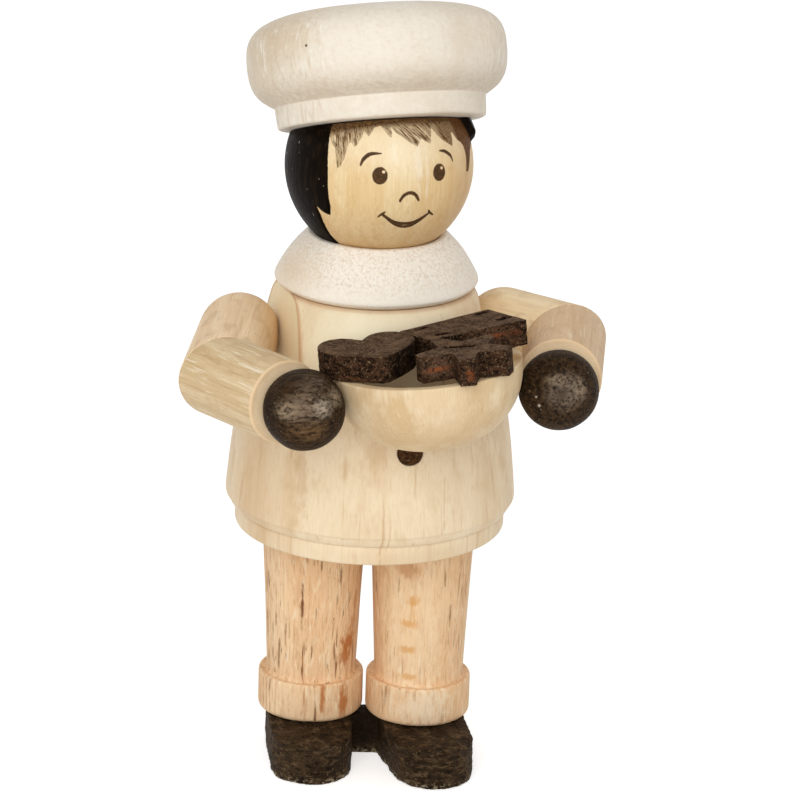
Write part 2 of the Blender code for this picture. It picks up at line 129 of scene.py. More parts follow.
ARM_R = 3.95
SHOULDER_OUT = 13.13
SHOULDER_BACK = {"right": 1.87, "left": -0.60}
SHOULDER_DOWN = {"right": 4.92, "left": 5.30}
ELBOW_OUT = {"right": 17.15, "left": 17.2}
ELBOW_FORWARD = {"right": 6.9, "left": 6.8}
ELBOW_DOWN = {"right": 6.15, "left": 5.25}
HAND_R = 3.80
HAND_OUT = 3.0
ELBOW_EASE = 0.06
FORE_EDGE = 0.35
FORE_EASE = 0.3
DISH_EASE = 0.08
# Past the end of any arm
NO_END = 99.0

BOWL_R = 9.02
BOWL_DEEP = 8.0
BOWL_WALL = 1.0
BOWL_FULL = 2.25
BOWL_DOWN = 2.68
BOWL_RIGHT = 0.32
BOWL_COPED = 2.5
BOWL_LEAN_RIGHT = 5.0
BOWL_LEAN_BACK = 4.7

BUTTON_R = 1.19
BUTTON_LONG = 3.5
BUTTON_PROUD = 0.35
BUTTON_DOME = 0.12
BUTTON_UP = 11.42
BUTTON_RIGHT = 1.2

BREAD_TALL = 2.5
HEART_WIDE = 9.1
HEART_LONG = 8.8
HEART_AT = (-5.4, -0.45, GLUE)
STAR_R = 4.6
# The sawn star's points, each as its direction and half width in degrees, and the waist after it
STAR_POINTS = [
    (257.0, 9.0, 289.5, 0.50), (324.5, 9.0, 0.5, 0.52), (36.5, 5.0, 72.5, 0.52), (108.5, 5.0, 146.0, 0.50),
    (188.0, 9.0, 222.0, 0.41),
]
STAR_AT = (1.9, -5.65)
BAR_START = -0.2
BAR_END = (10.08, 9.96)
BAR_BACK = 2.45
BAR_FRONT = (2.45, 3.67)
BAR_TALL = 2.4
BAR_TURN = 16.7
BAR_AT = (-0.38, 1.25)
SLOT_DEEP = 0.55
SLOT_TALL = 2.0
SLOT_WALL = 0.06
SLOT_EDGE = 0.10
# Pressed-in slots: place, length, width and turn
BAR_SLOTS = [
    (1.67, 1.6, 1.6, 0.62, 4.0), (1.9, -1.5, 1.6, 0.76, -6.0), (8.75, 1.75, 1.6, 0.66, 6.0),
    (9.0, -1.5, 1.8, 0.74, 2.0),
]
STAR_SLOTS = [(-0.15, 0.45, 3.0, 0.76, -18.0)]

# The photograph's camera, seen from the coat's axis at its hem
VIEW_TURN = -18.0
LOOK_DOWN = 18.87
ROLL = 1.86
AIM_RIGHT = 2.68
AIM_UP = 12.35
FAR = 400.0
LENS = 184.14
SENSOR = 36.0

# Light and floor
WHITE = (1.0, 1.0, 1.0, 1.0)
WORLD_LIGHT = 0.60
KEY_LIGHT = 0.75
KEY_AT = (-45.0, -360.0, 200.0)
KEY_AIM = (0.0, 0.0, 15.0)
KEY_SIZE = 260.0
FLOOR_GLOW = 0.50
FLOOR_WHITE = (0.92, 0.92, 0.92, 1.0)
FLOOR_SIZE = (2400.0, 2400.0, 2.0)

# How fine the meshes are, how near points of one seam lie, and a radius taken as nothing
STEP = 0.22
ARM_ROUND = 144
ARM_ROWS = np.append(np.linspace(1.0, 0.02, 40), 0.006)
SHOE_VOXEL = 0.16
BREAD_VOXEL = 0.085
SEAM = 0.002
AXIS = 1e-6

# The axis that pieces are turned round
UP = np.array([0.0, 0.0, 1.0])

# Roughness of each kind of piece: how deep, its lumps to the millimetre along each axis, and its seed
ROUGH = {
    "shoes": [(0.07, (0.7, 0.7, 1.4), 3), (0.06, (1.8, 1.8, 3.0), 8), (0.03, (4.0, 4.0, 4.0), 12)],
    "leg": [(0.03, (0.5, 0.5, 0.25), 4)],
    "button": [(0.02, (2.0, 2.0, 2.0), 5)],
    "collar": [(0.02, (0.6, 0.6, 0.6), 6)],
    "hat": [(0.05, (0.18, 0.18, 0.3), 7)],
    "hand": [(0.04, (0.7, 0.7, 0.7), 10)],
    "bread side": [(0.05, (1.5, 1.5, 2.2), 3), (0.04, (3.6, 3.6, 3.6), 9)],
    "bread face": [(0.02, (0.8, 0.8, 0.8), 5), (0.012, (2.8, 2.8, 2.8), 7)],
}

SIDES = (("right", -1.0), ("left", 1.0))


# Places

def at(point):
    return Matrix.Translation(Vector(point) * MM)


def turned_by(degrees):
    return Matrix.Rotation(math.radians(degrees), 4, "Z")


def along(point, direction):
    """A place at the point, with its own Z along the direction."""
    return at(point) @ Vector(direction).to_track_quat("Z", "Y").to_matrix().to_4x4()


coat_low, coat_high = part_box("coat_body")
HEM = Matrix.Translation(((coat_low.x + coat_high.x) / 2.0, (coat_low.y + coat_high.y) / 2.0, coat_low.z))
VIEW = HEM @ turned_by(VIEW_TURN)
STANCE = turned_by(STANCE_TURN)
GROUND = -(SHOE_TALL + LEG_TALL)
COLLAR_Z = COAT_TALL + GLUE
SEAT_BALL = HEAD_R + GLUE
HEAD_Z = COLLAR_Z + COLLAR_TALL + math.sqrt(SEAT_BALL**2 - SEAT_R**2)


# Lines and meshes

def smooth(points, each):
    """Points on a smooth open line through the points given, both ends kept."""
    ends = [Vector(points[0])] + [Vector(p) for p in points] + [Vector(points[-1])]
    line = []
    for before, start, stop, after in zip(ends, ends[1:], ends[2:], ends[3:]):
        for step in range(each):
            t = step / each
            line.append(
                start * (2 * t**3 - 3 * t**2 + 1)
                + (stop - before) * 0.5 * (t**3 - 2 * t**2 + t)
                + stop * (3 * t**2 - 2 * t**3)
                + (after - start) * 0.5 * (t**3 - t**2)
            )
    return [tuple(p) for p in line] + [tuple(points[-1])]


def oval(wide, tall, power, steps):
    """A quarter of a squarish oval, from its side at (wide, 0) to its end at (0, tall)."""
    line = []
    for step in range(steps + 1):
        angle = math.pi / 2.0 * step / steps
        out = max(math.cos(angle), 0.0) ** (2.0 / power)
        line.append((wide * out, tall * math.sin(angle) ** (2.0 / power)))
    line[-1] = (0.0, tall)
    return line


def eased(corners, steps=5):
    """A line through (radius, height, ease) corners, each rounded over the ease either side of it."""
    line = []
    for before, here, after in zip([corners[0]] + corners, corners, corners[1:] + [corners[-1]]):
        spot = Vector(here[:2])
        back, on = Vector(before[:2]) - spot, Vector(after[:2]) - spot
        if not here[2] or not back.length or not on.length:
            line.append(tuple(spot))
            continue
        start = spot + back.normalized() * min(here[2], back.length * 0.5)
        stop = spot + on.normalized() * min(here[2], on.length * 0.5)
        for step in range(steps + 1):
            t = step / steps
            line.append(tuple(start * (1 - t) ** 2 + spot * 2 * t * (1 - t) + stop * t * t))
    return line


def plain(points):
    """Corners with no ease, for eased()."""
    return [(*point, 0.0) for point in points]


def dense(line, step):
    """The line with points added so that none are further apart than the step."""
    full = [tuple(line[0])]
    for start, stop in zip(line, line[1:]):
        start, stop = Vector(start), Vector(stop)
        count = max(1, math.ceil((stop - start).length / step))
        full += [tuple(start.lerp(stop, (i + 1) / count)) for i in range(count)]
    return full


def skin(rings, loop=False):
    """A mesh through rings of points, its outside out when the rings run from the top down.
    A ring of one point closes an end, and loop joins the last ring to the first."""
    sizes = [len(ring) for ring in rings]
    starts = np.cumsum([0] + sizes)
    pairs = list(zip(range(len(rings)), range(1, len(rings))))
    if loop:
        pairs.append((len(rings) - 1, 0))
    faces = []
    for upper, lower in pairs:
        here = np.arange(max(sizes[upper], sizes[lower]))
        after = np.roll(here, -1)
        top, top_after = (starts[upper] + spot % sizes[upper] for spot in (here, after))
        base, base_after = (starts[lower] + spot % sizes[lower] for spot in (here, after))
        corners = [top, base]
        if sizes[lower] > 1:
            corners.append(base_after)
        if sizes[upper] > 1:
            corners.append(top_after)
        faces += np.stack(corners, 1).tolist()
    mesh = bpy.data.meshes.new("skin")
    mesh.from_pydata((np.concatenate(rings) * MM).tolist(), [], faces)
    mesh.shade_smooth()
    return mesh


def ring_at(turn):
    """Points round a circle of radius one, at the angles given."""
    return np.stack([np.cos(turn), np.sin(turn), np.zeros(len(turn))], 1)


def circle(around):
    return ring_at(np.linspace(0.0, 2.0 * np.pi, around, endpoint=False))


def tip(height):
    """A ring of one point, on the axis."""
    return UP[None, :] * height


def revolve(line, around):
    """Rings of a turned shape from a line of (radius, height) points, top first."""
    round_one = circle(around)
    return [round_one * radius + UP * height if radius > AXIS else tip(height) for radius, height in line]


def turned(line, around, step=STEP):
    return skin(revolve(dense(line, step), around))


def link(name, data, place=None):
    """A new object, set in its place in the scene."""
    obj = bpy.data.objects.new(name, data)
    bpy.context.scene.collection.objects.link(obj)
    obj.matrix_world = place or Matrix.Identity(4)
    return obj


def settled(obj, *helpers):
    """The mesh that an object's modifiers make. The object and its helpers go."""
    bpy.context.view_layer.update()
    graph = bpy.context.evaluated_depsgraph_get()
    made = bpy.data.meshes.new_from_object(obj.evaluated_get(graph), depsgraph=graph)
    for used in (obj, *helpers):
        bpy.data.objects.remove(used, do_unlink=True)
    return made


def carve(mesh, *tools):
    """The mesh with each (mesh, place) tool taken out of it."""
    obj = link("carved", mesh)
    helpers = [link("tool", tool, place) for tool, place in tools]
    for helper in helpers:
        modifier = obj.modifiers.new("cut", "BOOLEAN")
        modifier.operation = "DIFFERENCE"
        modifier.solver = "EXACT"
        modifier.object = helper
    return settled(obj, *helpers)


def remeshed(mesh, voxel):
    obj = link("remeshed", mesh)
    modifier = obj.modifiers.new("remesh", "REMESH")
    modifier.mode = "VOXEL"
    modifier.voxel_size = voxel * MM
    made = settled(obj)
    made.shade_smooth()
    return made


def drill(radius, low, high):
    return skin(revolve([(0.0, high), (radius, high), (radius, low), (0.0, low)], 48))


def meshed(shape):
    """A mesh from an edited shape, which is then freed."""
    mesh = bpy.data.meshes.new("shape")
    shape.to_mesh(mesh)
    shape.free()
    return mesh


def block(size):
    """A box of a given size round its own middle."""
    shape = bmesh.new()
    bmesh.ops.create_cube(shape, size=1.0)
    bmesh.ops.scale(shape, verts=shape.verts, vec=Vector(size) * MM)
    return meshed(shape)


def from_frame(node):
    """A copy of a frame node's mesh, with the seams of its import closed."""
    shape = bmesh.new()
    shape.from_mesh(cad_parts[node].data)
    bmesh.ops.remove_doubles(shape, verts=shape.verts, dist=SEAM * MM)
    return meshed(shape)


def ramp(values, low, high, most=1.0):
    """A straight rise from 0 at low to 1 at high, held between 0 and the most."""
    return np.clip((values - low) / (high - low), 0.0, most)


def spots_of(mesh):
    """The mesh's points and normals, in millimetres and of length one."""
    spots = np.empty(len(mesh.vertices) * 3)
    mesh.vertices.foreach_get("co", spots)
    normals = np.empty(len(mesh.vertices) * 3)
    mesh.vertex_normals.foreach_get("vector", normals)
    return spots.reshape(-1, 3) / MM, normals.reshape(-1, 3)


def move_spots(mesh, spots):
    mesh.vertices.foreach_set("co", (spots * MM).ravel())
    mesh.update()


def field(mesh, name, values):
    """Keeps one number for each point, for a finish to read."""
    layer = mesh.attributes.new(name, "FLOAT", "POINT")
    layer.data.foreach_set("value", np.asarray(values, np.float32))


def lumps(spots, scale, seed):
    """Smooth noise from -1 to 1, with scale lumps to the millimetre along each axis."""
    place = spots * np.asarray(scale) + seed * 17.31
    base = np.floor(place).astype(np.int64)
    part = place - base
    part = part * part * (3.0 - 2.0 * part)
    total = np.zeros(len(spots))
    for corner in itertools.product((0, 1), repeat=3):
        cell = base + np.array(corner)
        code = cell[:, 0] * 73856093 ^ cell[:, 1] * 19349663 ^ cell[:, 2] * 83492791
        code = (code & 0xFFFFFF) * 1103515245 + 12345
        share = ((code >> 8) & 0xFFFF) / 0xFFFF
        weight = np.ones(len(spots))
        for axis, side in enumerate(corner):
            weight = weight * (part[:, axis] if side else 1.0 - part[:, axis])
        total += weight * share
    return total * 2.0 - 1.0


def roughness(spots, rows, shift):
    """The sum of rows of lumps, their seeds moved on by the shift."""
    return sum(deep * lumps(spots, scale, seed + shift) for deep, scale, seed in rows)


def roughen(mesh, kind, shift=0):
    """Roughens a mesh by each row of its kind in turn."""
    for row in ROUGH[kind]:
        spots, normals = spots_of(mesh)
        move_spots(mesh, spots + normals * roughness(spots, [row], shift)[:, None])
    return mesh


def piece(name, mesh, finish, node, place=None):
    """A visible piece that stands for one node of the frame."""
    obj = link(name, mesh, place)
    mesh.materials.clear()
    mesh.materials.append(finish)
    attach(obj, "root")
    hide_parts(node)


# Finishes

def lit(colour):
    """A colour's light from its screen values. A colour that a node makes is left alone."""
    if isinstance(colour, bpy.types.NodeSocket):
        return colour
    shares = [value / 255.0 for value in colour]
    return (*(s / 12.92 if s <= 0.04045 else ((s + 0.055) / 1.055) ** 2.4 for s in shares), 1.0)


def fill(tree, node, inputs):
    """Sets a node's inputs, each to a value or to another node's socket."""
    for key, value in inputs.items():
        if isinstance(value, bpy.types.NodeSocket):
            tree.links.new(value, node.inputs[key])
        else:
            node.inputs[key].default_value = value
    return node


def wired(tree, kind, inputs, output=0, **settings):
    """One output of a new node with its settings and inputs."""
    node = tree.nodes.new(kind)
    for key, value in settings.items():
        setattr(node, key, value)
    return fill(tree, node, inputs).outputs[output]


class Finish:
    """A material made of nodes, with lengths in millimetres in the piece's own frame. Tints are laid on
    its colour one over another."""

    def __init__(self, name, seed):
        self.material = bpy.data.materials.new(name)
        self.material.use_nodes = True
        self.tree = self.material.node_tree
        own = self.tree.nodes.new("ShaderNodeTexCoord").outputs["Object"]
        self.where = self.vector("MULTIPLY", own, (1.0 / MM,) * 3)
        self.seed = seed
        self.colour = None

    def make(self, kind, inputs, output=0, **settings):
        return wired(self.tree, kind, inputs, output, **settings)

    def vector(self, operation, first, second):
        return self.make("ShaderNodeVectorMath", {0: first, 1: second}, operation=operation)

    def length(self, way):
        return self.make("ShaderNodeVectorMath", {0: way}, "Value", operation="LENGTH")

    def math(self, operation, first, second=0.0):
        return self.make("ShaderNodeMath", {0: first, 1: second}, operation=operation)

    def times(self, first, second):
        return self.math("MULTIPLY", first, second)

    def plus(self, first, second):
        return self.math("ADD", first, second)

    def less(self, first, second):
        return self.math("SUBTRACT", first, second)

    def most(self, first, second):
        return self.math("MAXIMUM", first, second)

    def cloud(self, place, detail, rough, warp=0.0):
        inputs = {"Vector": place, "Scale": 1.0, "Detail": detail, "Roughness": rough, "Distortion": warp}
        return self.make("ShaderNodeTexNoise", inputs)

    def noise(self, across, along_z, detail, rough=0.5, shift=0.0, warp=0.0):
        """Cloudy noise, with so many lumps to the millimetre across Z and along it."""
        place = self.vector("MULTIPLY", self.where, (across, across, along_z))
        return self.cloud(self.vector("ADD", place, (self.seed + shift,) * 3), detail, rough, warp)

    def span(self, value, low, high, to_low=0.0, to_high=1.0):
        """A smooth change from one number to another as the value goes from low to high."""
        inputs = {"Value": value, "From Min": low, "From Max": high, "To Min": to_low, "To Max": to_high}
        return self.make("ShaderNodeMapRange", inputs, interpolation_type="SMOOTHSTEP")

    def mix(self, share, first, second):
        inputs = {0: share, 6: lit(first), 7: lit(second)}
        return self.make("ShaderNodeMix", inputs, 2, data_type="RGBA")

    def field(self, name):
        return self.make("ShaderNodeAttribute", {}, "Fac", attribute_name=name)

    def axis(self, name):
        return self.make("ShaderNodeSeparateXYZ", {0: self.where}, name)

    def out(self):
        """How far a place lies from the piece's own Z."""
        return self.length(self.vector("MULTIPLY", self.where, (1.0, 1.0, 0.0)))

    def away(self, middle, size):
        """How far off a middle a place is, as a share of the size along each axis."""
        return self.length(self.vector("DIVIDE", self.vector("SUBTRACT", self.where, middle), size))

    def blot(self, middle, size, edge):
        """One where a soft-edged oval lies, and nothing outside it."""
        return self.span(self.away(middle, size), 1.0, edge)

    def lay(self, share, tint):
        """Lays a tint over the colour so far."""
        self.colour = self.mix(share, self.colour, tint)

    def layers(self, *rows):
        """Lays a tint for each row, up to its share where its value goes from low to high."""
        for value, low, high, share, tint in rows:
            self.lay(self.span(value, low, high, 0.0, share), tint)

    def wash(self, washes):
        """Lays wide smooth washes, each a (middle, size, share, tint)."""
        for middle, size, share, tint in washes:
            self.layers((self.away(middle, size), 1.0, 0.0, share, tint))

    def mark(self, marks):
        """Lays ragged soft marks, each a (middle, size, share, tint)."""
        fray = self.times(self.less(self.noise(2.4, 0.9, 3.0, 0.65, shift=71.0), 0.5), 1.9)
        for middle, size, share, tint in marks:
            self.layers((self.plus(self.away(middle, size), fray), 1.0, 0.25, share, tint))

    def done(self, rough, height, deep, shine):
        """Wires the finish up. Rough is a value and what it gives at its low and high. The height runs
        from 0 to 1 and stands for a relief so deep."""
        value, smoothest, roughest = rough
        bump = self.make("ShaderNodeBump", {"Height": height, "Distance": deep * MM, "Strength": 1.0})
        fill(self.tree, self.tree.nodes["Principled BSDF"], {
            "Base Color": self.colour,
            "Roughness": self.span(value, 0.3, 0.7, smoothest, roughest),
            "Specular IOR Level": shine,
            "Normal": bump,
        })
        return self.material


def pale_wood(name, seed, pale, deep, washes, marks=(), sawn=False):
    """Fine lime wood under thin matt varnish, its grain along Z. If sawn, its flats are lightened as
    painted light, and its edges are tan.
    """
    f = Finish(name, seed)
    bands = f.noise(0.26, 0.006, 2.0, shift=3.0, warp=0.25)
    lines = f.noise(1.5, 0.012, 2.0, 0.6, shift=9.0)
    fibres = f.noise(7.0, 0.16, 3.0, 0.6, shift=5.0)
    pores = f.noise(5.2, 0.45, 1.0, shift=21.0)
    mottle = f.noise(1.1, 0.7, 3.0, 0.6, shift=27.0)
    clouds = f.noise(0.34, 0.22, 3.0, 0.55, shift=39.0)
    f.colour = f.mix(f.span(bands, 0.36, 0.66), pale, deep)
    f.layers(
        (clouds, 0.52, 0.74, 0.50, (212, 178, 132)),
        (clouds, 0.48, 0.28, 0.45, (250, 234, 204)),
        (lines, 0.57, 0.75, 0.48, (206, 168, 120)),
        (fibres, 0.44, 0.74, 0.17, (196, 160, 112)),
        (fibres, 0.46, 0.24, 0.35, (248, 234, 208)),
        (mottle, 0.54, 0.74, 0.22, (210, 176, 132)),
        (pores, 0.72, 0.80, 0.20, (150, 112, 72)),
    )
    # Painted light: the sawn flats are lightened as if lit as brightly as the coat's front.
    if sawn:
        f.lay(f.times(f.field("flat"), 0.80), (255, 238, 196))
    f.wash(washes)
    if sawn:
        f.lay(f.times(f.field("saw_edge"), 0.8), (196, 140, 80))
        f.layers((f.axis("Z"), COAT_TALL - 0.35, COAT_TALL - 0.1, 0.3, (190, 136, 84)))
    f.mark(marks)
    return f.done((fibres, 0.44, 0.60), fibres, 0.03, 0.3)


def beech(name, seed, marks=(), flecked=0.8):
    """Plain turned beech with its short dark flecks along the grain."""
    f = Finish(name, seed)
    bands = f.noise(0.35, 0.02, 2.0, shift=2.0)
    fibres = f.noise(4.2, 0.42, 5.0, 0.72, shift=5.0, warp=0.4)
    flecks = f.noise(2.5, 0.24, 3.0, 0.6, shift=11.0, warp=0.2)
    patches = f.noise(0.30, 0.16, 2.0, shift=51.0)
    wide = f.noise(1.3, 0.10, 2.0, 0.6, shift=37.0)
    pale = f.noise(2.6, 0.55, 4.0, 0.68, shift=31.0)
    f.colour = f.mix(f.span(bands, 0.35, 0.65), (247, 213, 171), (238, 196, 150))
    f.layers(
        (fibres, 0.47, 0.68, 0.60, (198, 144, 98)),
        (wide, 0.58, 0.74, 0.40, (186, 132, 88)),
        (pale, 0.52, 0.68, 0.55, (254, 234, 200)),
    )
    dark = f.times(f.span(flecks, 0.595, 0.68), f.span(patches, 0.36, 0.58, 0.15, 1.0))
    f.lay(f.times(dark, flecked), (124, 66, 28))
    f.mark(marks)
    height = f.less(f.less(pale, fibres), f.times(dark, 0.4))
    return f.done((fibres, 0.50, 0.70), height, 0.08, 0.12)


def arm_wood(name, seed, pale, deep, drawn, end=NO_END):
    """Sanded dowel with drawn scratches along it, tan at a sawn edge, with painted shadow near the shoulder
    and pale on its turned end.
    """
    f = Finish(name, seed)
    bands = f.noise(0.5, 0.03, 2.0, shift=2.0)
    streaks = f.noise(2.3, 0.13, 4.0, 0.68, shift=7.0, warp=0.2)
    scratch = f.noise(3.6, 0.24, 3.0, 0.62, shift=29.0, warp=0.3)
    fibres = f.noise(8.0, 0.5, 2.0, 0.6, shift=5.0)
    mottle = f.noise(0.7, 0.5, 3.0, 0.6, shift=17.0)
    f.colour = f.mix(f.span(bands, 0.35, 0.65), pale, deep)
    f.layers(
        (mottle, 0.48, 0.70, 0.40, (196, 160, 116)),
        (streaks, 0.48, 0.33, 0.10 + 0.45 * drawn, (182, 146, 100)),
        (streaks, 0.54, 0.68, 0.30 + 0.40 * drawn, (248, 231, 200)),
        (scratch, 0.60, 0.69, 0.80 * drawn, (255, 245, 222)),
        (scratch, 0.38, 0.28, 0.40 * drawn, (164, 128, 88)),
        (fibres, 0.60, 0.74, 0.22, (172, 134, 92)),
    )
    f.lay(f.times(f.field("saw_edge"), 0.6), (186, 132, 78))
    # Painted shadow of the coat and collar on the upper arm next to the flat
    f.lay(f.times(f.field("shoulder"), 0.62), (188, 146, 94))
    out = f.plus(f.out(), f.times(f.less(mottle, 0.5), 0.9))
    turned_end = f.span(f.axis("Z"), end - 0.34, end - 0.10)
    cream = f.mix(f.span(out, ARM_R - 0.1, ARM_R - 0.7), (237, 205, 163), (253, 225, 184))
    cream = f.mix(f.span(fibres, 0.52, 0.70, 0.0, 0.35), cream, (216, 176, 136))
    f.lay(f.times(turned_end, 0.92), cream)
    height = f.times(f.less(scratch, streaks), f.span(turned_end, 1.0, 0.0, 0.15, 1.0))
    return f.done((streaks, 0.5, 0.65), height, 0.05 + 0.04 * drawn, 0.2)


def hat_glaze(name, seed, washes):
    """Thin white glaze, brushed on over the turned wood."""
    f = Finish(name, seed)
    cloud = f.noise(0.13, 0.16, 3.0, 0.5, shift=3.0, warp=0.3)
    grain = f.noise(1.5, 0.10, 3.0, 0.6, shift=6.0)
    scrape = f.noise(2.2, 0.36, 3.0, 0.65, shift=12.0, warp=0.6)
    leather = f.noise(1.7, 2.2, 4.0, 0.62, shift=17.0, warp=0.3)
    aside = f.span(f.math("ABSOLUTE", f.axis("X")), 5.0, 10.5)
    f.colour = f.mix(f.span(cloud, 0.42, 0.70), (236, 226, 209), (228, 214, 193))
    f.wash(washes)
    f.layers(
        (grain, 0.52, 0.74, 0.20, (218, 200, 176)),
        (leather, 0.50, 0.70, 0.28, (214, 196, 172)),
        (leather, 0.46, 0.30, 0.30, (248, 241, 228)),
    )
    scraped = f.times(f.span(scrape, 0.57, 0.70), f.span(aside, 0.0, 1.0, 0.06, 0.70))
    f.lay(scraped, (250, 243, 230))
    worn = f.times(f.span(scrape, 0.50, 0.36), f.span(aside, 0.0, 1.0, 0.04, 0.46))
    f.lay(worn, (206, 182, 152))
    # Painted shade under the crown, broken into streaks
    under = f.times(f.span(f.axis("Z"), 5.4, 2.6), f.span(f.axis("Z"), 2.0, 2.2))
    shade = f.span(f.noise(1.9, 3.2, 4.0, 0.65, shift=57.0), 0.34, 0.66, 0.38, 0.72)
    f.lay(f.times(under, shade), (202, 184, 160))
    dot = f.blot(HAT_DOT, (0.2, 0.2, 0.2), 0.4)
    f.lay(dot, (70, 54, 40))
    height = f.plus(f.times(scrape, aside), f.times(leather, 0.7))
    return f.done((scrape, 0.45, 0.62), height, 0.08, 0.3)


def collar_glaze(name, seed):
    """White glaze that has dried to fine grit above and smooth below."""
    f = Finish(name, seed)
    grit = f.noise(3.9, 3.0, 3.0, 0.62, shift=17.0)
    fine = f.noise(7.0, 7.0, 2.0, 0.6, shift=23.0)
    grain = f.noise(1.8, 0.15, 3.0, 0.6, shift=6.0)
    above = f.span(f.axis("Z"), COLLAR_TALL * 0.12, COLLAR_TALL * 0.50, 0.20, 1.0)
    f.colour = f.mix(f.span(grain, 0.50, 0.75, 0.0, 0.35), (251, 242, 227), (236, 219, 196))
    dark = f.times(f.span(grit, 0.48, 0.64, 0.0, 0.50), above)
    f.lay(dark, (218, 198, 174))
    light = f.times(f.span(grit, 0.46, 0.36, 0.0, 0.6), above)
    f.lay(light, (254, 249, 240))
    f.lay(f.times(f.span(fine, 0.60, 0.72, 0.0, 0.5), above), (202, 180, 154))
    f.layers((f.axis("Z"), 0.35, 0.0, 0.7, (190, 150, 106)))
    f.wash(COLLAR_SHADE)
    height = f.times(f.plus(fine, grit), f.span(above, 0.0, 1.0, 0.2, 1.0))
    return f.done((grit, 0.5, 0.66), height, 0.06, 0.3)


def dark_stain(name, seed, rubbed_and_painted_light, rings=0.0):
    """Dark brown stain, its grain or rings along and round Z, with light and dark patches: on the hands,
    painted highlights and shade.
    """
    f = Finish(name, seed)
    cloud = f.noise(0.5, 0.35, 4.0, 0.6, shift=3.0)
    grain = f.noise(3.0, 0.45, 4.0, 0.7, shift=8.0, warp=0.3)
    out = f.plus(f.out(), f.times(cloud, 0.9))
    wave = f.math("SINE", f.times(out, 8.5))
    grain = f.plus(grain, f.times(wave, 0.10 * rings))
    specks = f.noise(4.2, 3.4, 2.0, 0.6, shift=15.0)
    pits = f.noise(3.4, 2.2, 3.0, 0.65, shift=19.0)
    flaked = f.plus(f.times(grain, 0.5), f.times(pits, 0.5))
    f.colour = f.mix(f.span(grain, 0.34, 0.68), (28, 19, 11), (73, 55, 37))
    f.layers((cloud, 0.44, 0.28, 0.5, (56, 34, 18)))
    # On the hands these patches are painted highlights and painted shade.
    for middle, size, share, tint in rubbed_and_painted_light:
        streaked = f.times(f.blot(middle, size, 0.05), f.span(flaked, 0.40, 0.58, 0.20, 1.0))
        f.lay(f.times(streaked, share), tint)
    f.layers(
        (pits, 0.42, 0.33, 0.65, (20, 12, 6)),
        (specks, 0.66, 0.74, 0.6, (160, 140, 114)),
    )
    return f.done((grain, 0.36, 0.54), f.plus(grain, pits), 0.10, 0.02)


def burnt_board(name, seed, marks=()):
    """Dark board, charred and pitted on its sawn sides, its faces matt with fine pale dust."""
    f = Finish(name, seed)
    side = f.field("side")
    cloud = f.noise(0.9, 0.9, 4.0, 0.7, shift=3.0)
    grit = f.noise(3.6, 3.6, 3.0, 0.65, shift=8.0)
    fine = f.noise(5.0, 5.0, 3.0, 0.7, shift=44.0)
    layers = f.noise(1.3, 2.6, 3.0, 0.65, shift=28.0)
    specks = f.noise(4.6, 4.6, 2.0, 0.6, shift=15.0)
    f.colour = f.mix(f.span(cloud, 0.36, 0.66), (58, 40, 27), (108, 84, 63))
    f.layers(
        (fine, 0.52, 0.66, 0.75, (142, 116, 90)),
        (fine, 0.44, 0.34, 0.60, (42, 27, 16)),
        (layers, 0.50, 0.34, 0.55, (50, 34, 21)),
    )
    sawn = f.mix(f.span(layers, 0.38, 0.62), (28, 17, 9), (76, 52, 35))
    sawn = f.mix(f.span(grit, 0.45, 0.34, 0.0, 0.85), sawn, (16, 8, 4))
    sawn = f.mix(f.span(fine, 0.56, 0.66, 0.0, 0.50), sawn, (130, 100, 76))
    for middle, size, share, tint in marks:
        # Painted shadow in the gaps is laid less broken than the glints.
        least = 0.65 if tint == GAP_SHADOW else 0.1
        ragged = f.times(f.blot(middle, size, 0.1), f.span(grit, 0.40, 0.58, least, 1.0))
        sawn = f.mix(f.times(ragged, share), sawn, tint)
    f.lay(side, sawn)
    f.lay(f.times(f.field("pocket"), 0.92), (16, 9, 5))
    f.layers((specks, 0.61, 0.70, 0.55, (160, 134, 106)))
    return f.done((grit, 0.55, 0.8), f.plus(grit, layers), 0.16, 0.04)


def shoe_stain(name, seed):
    """Burnt board in layers, chipped pale where its lower edge has been scuffed."""
    f = Finish(name, seed)
    cloud = f.noise(0.4, 0.4, 3.0, 0.6, shift=3.0)
    drag = f.noise(0.8, 2.6, 4.0, 0.7, shift=8.0, warp=0.4)
    grit = f.noise(2.8, 3.2, 3.0, 0.65, shift=33.0)
    specks = f.noise(3.6, 3.6, 2.0, 0.6, shift=15.0)
    f.colour = f.mix(f.span(cloud, 0.35, 0.68), (46, 33, 20), (68, 52, 35))
    f.layers(
        (drag, 0.50, 0.64, 0.8, (100, 80, 58)),
        (drag, 0.46, 0.34, 0.85, (15, 9, 4)),
        (grit, 0.44, 0.34, 0.85, (11, 6, 3)),
        (specks, 0.65, 0.73, 0.6, (150, 122, 88)),
    )
    scuff = f.times(f.span(f.axis("Z"), 0.8, 0.1), f.span(grit, 0.50, 0.60))
    f.lay(f.times(scuff, 0.75), (184, 168, 138))
    # Painted shadow on the bridge between the shoes.
    f.lay(f.times(f.blot(*BRIDGE_SHADOW, 0.3), 0.85), (20, 12, 5))
    return f.done((drag, 0.5, 0.7), f.plus(drag, grit), 0.26, 0.05)


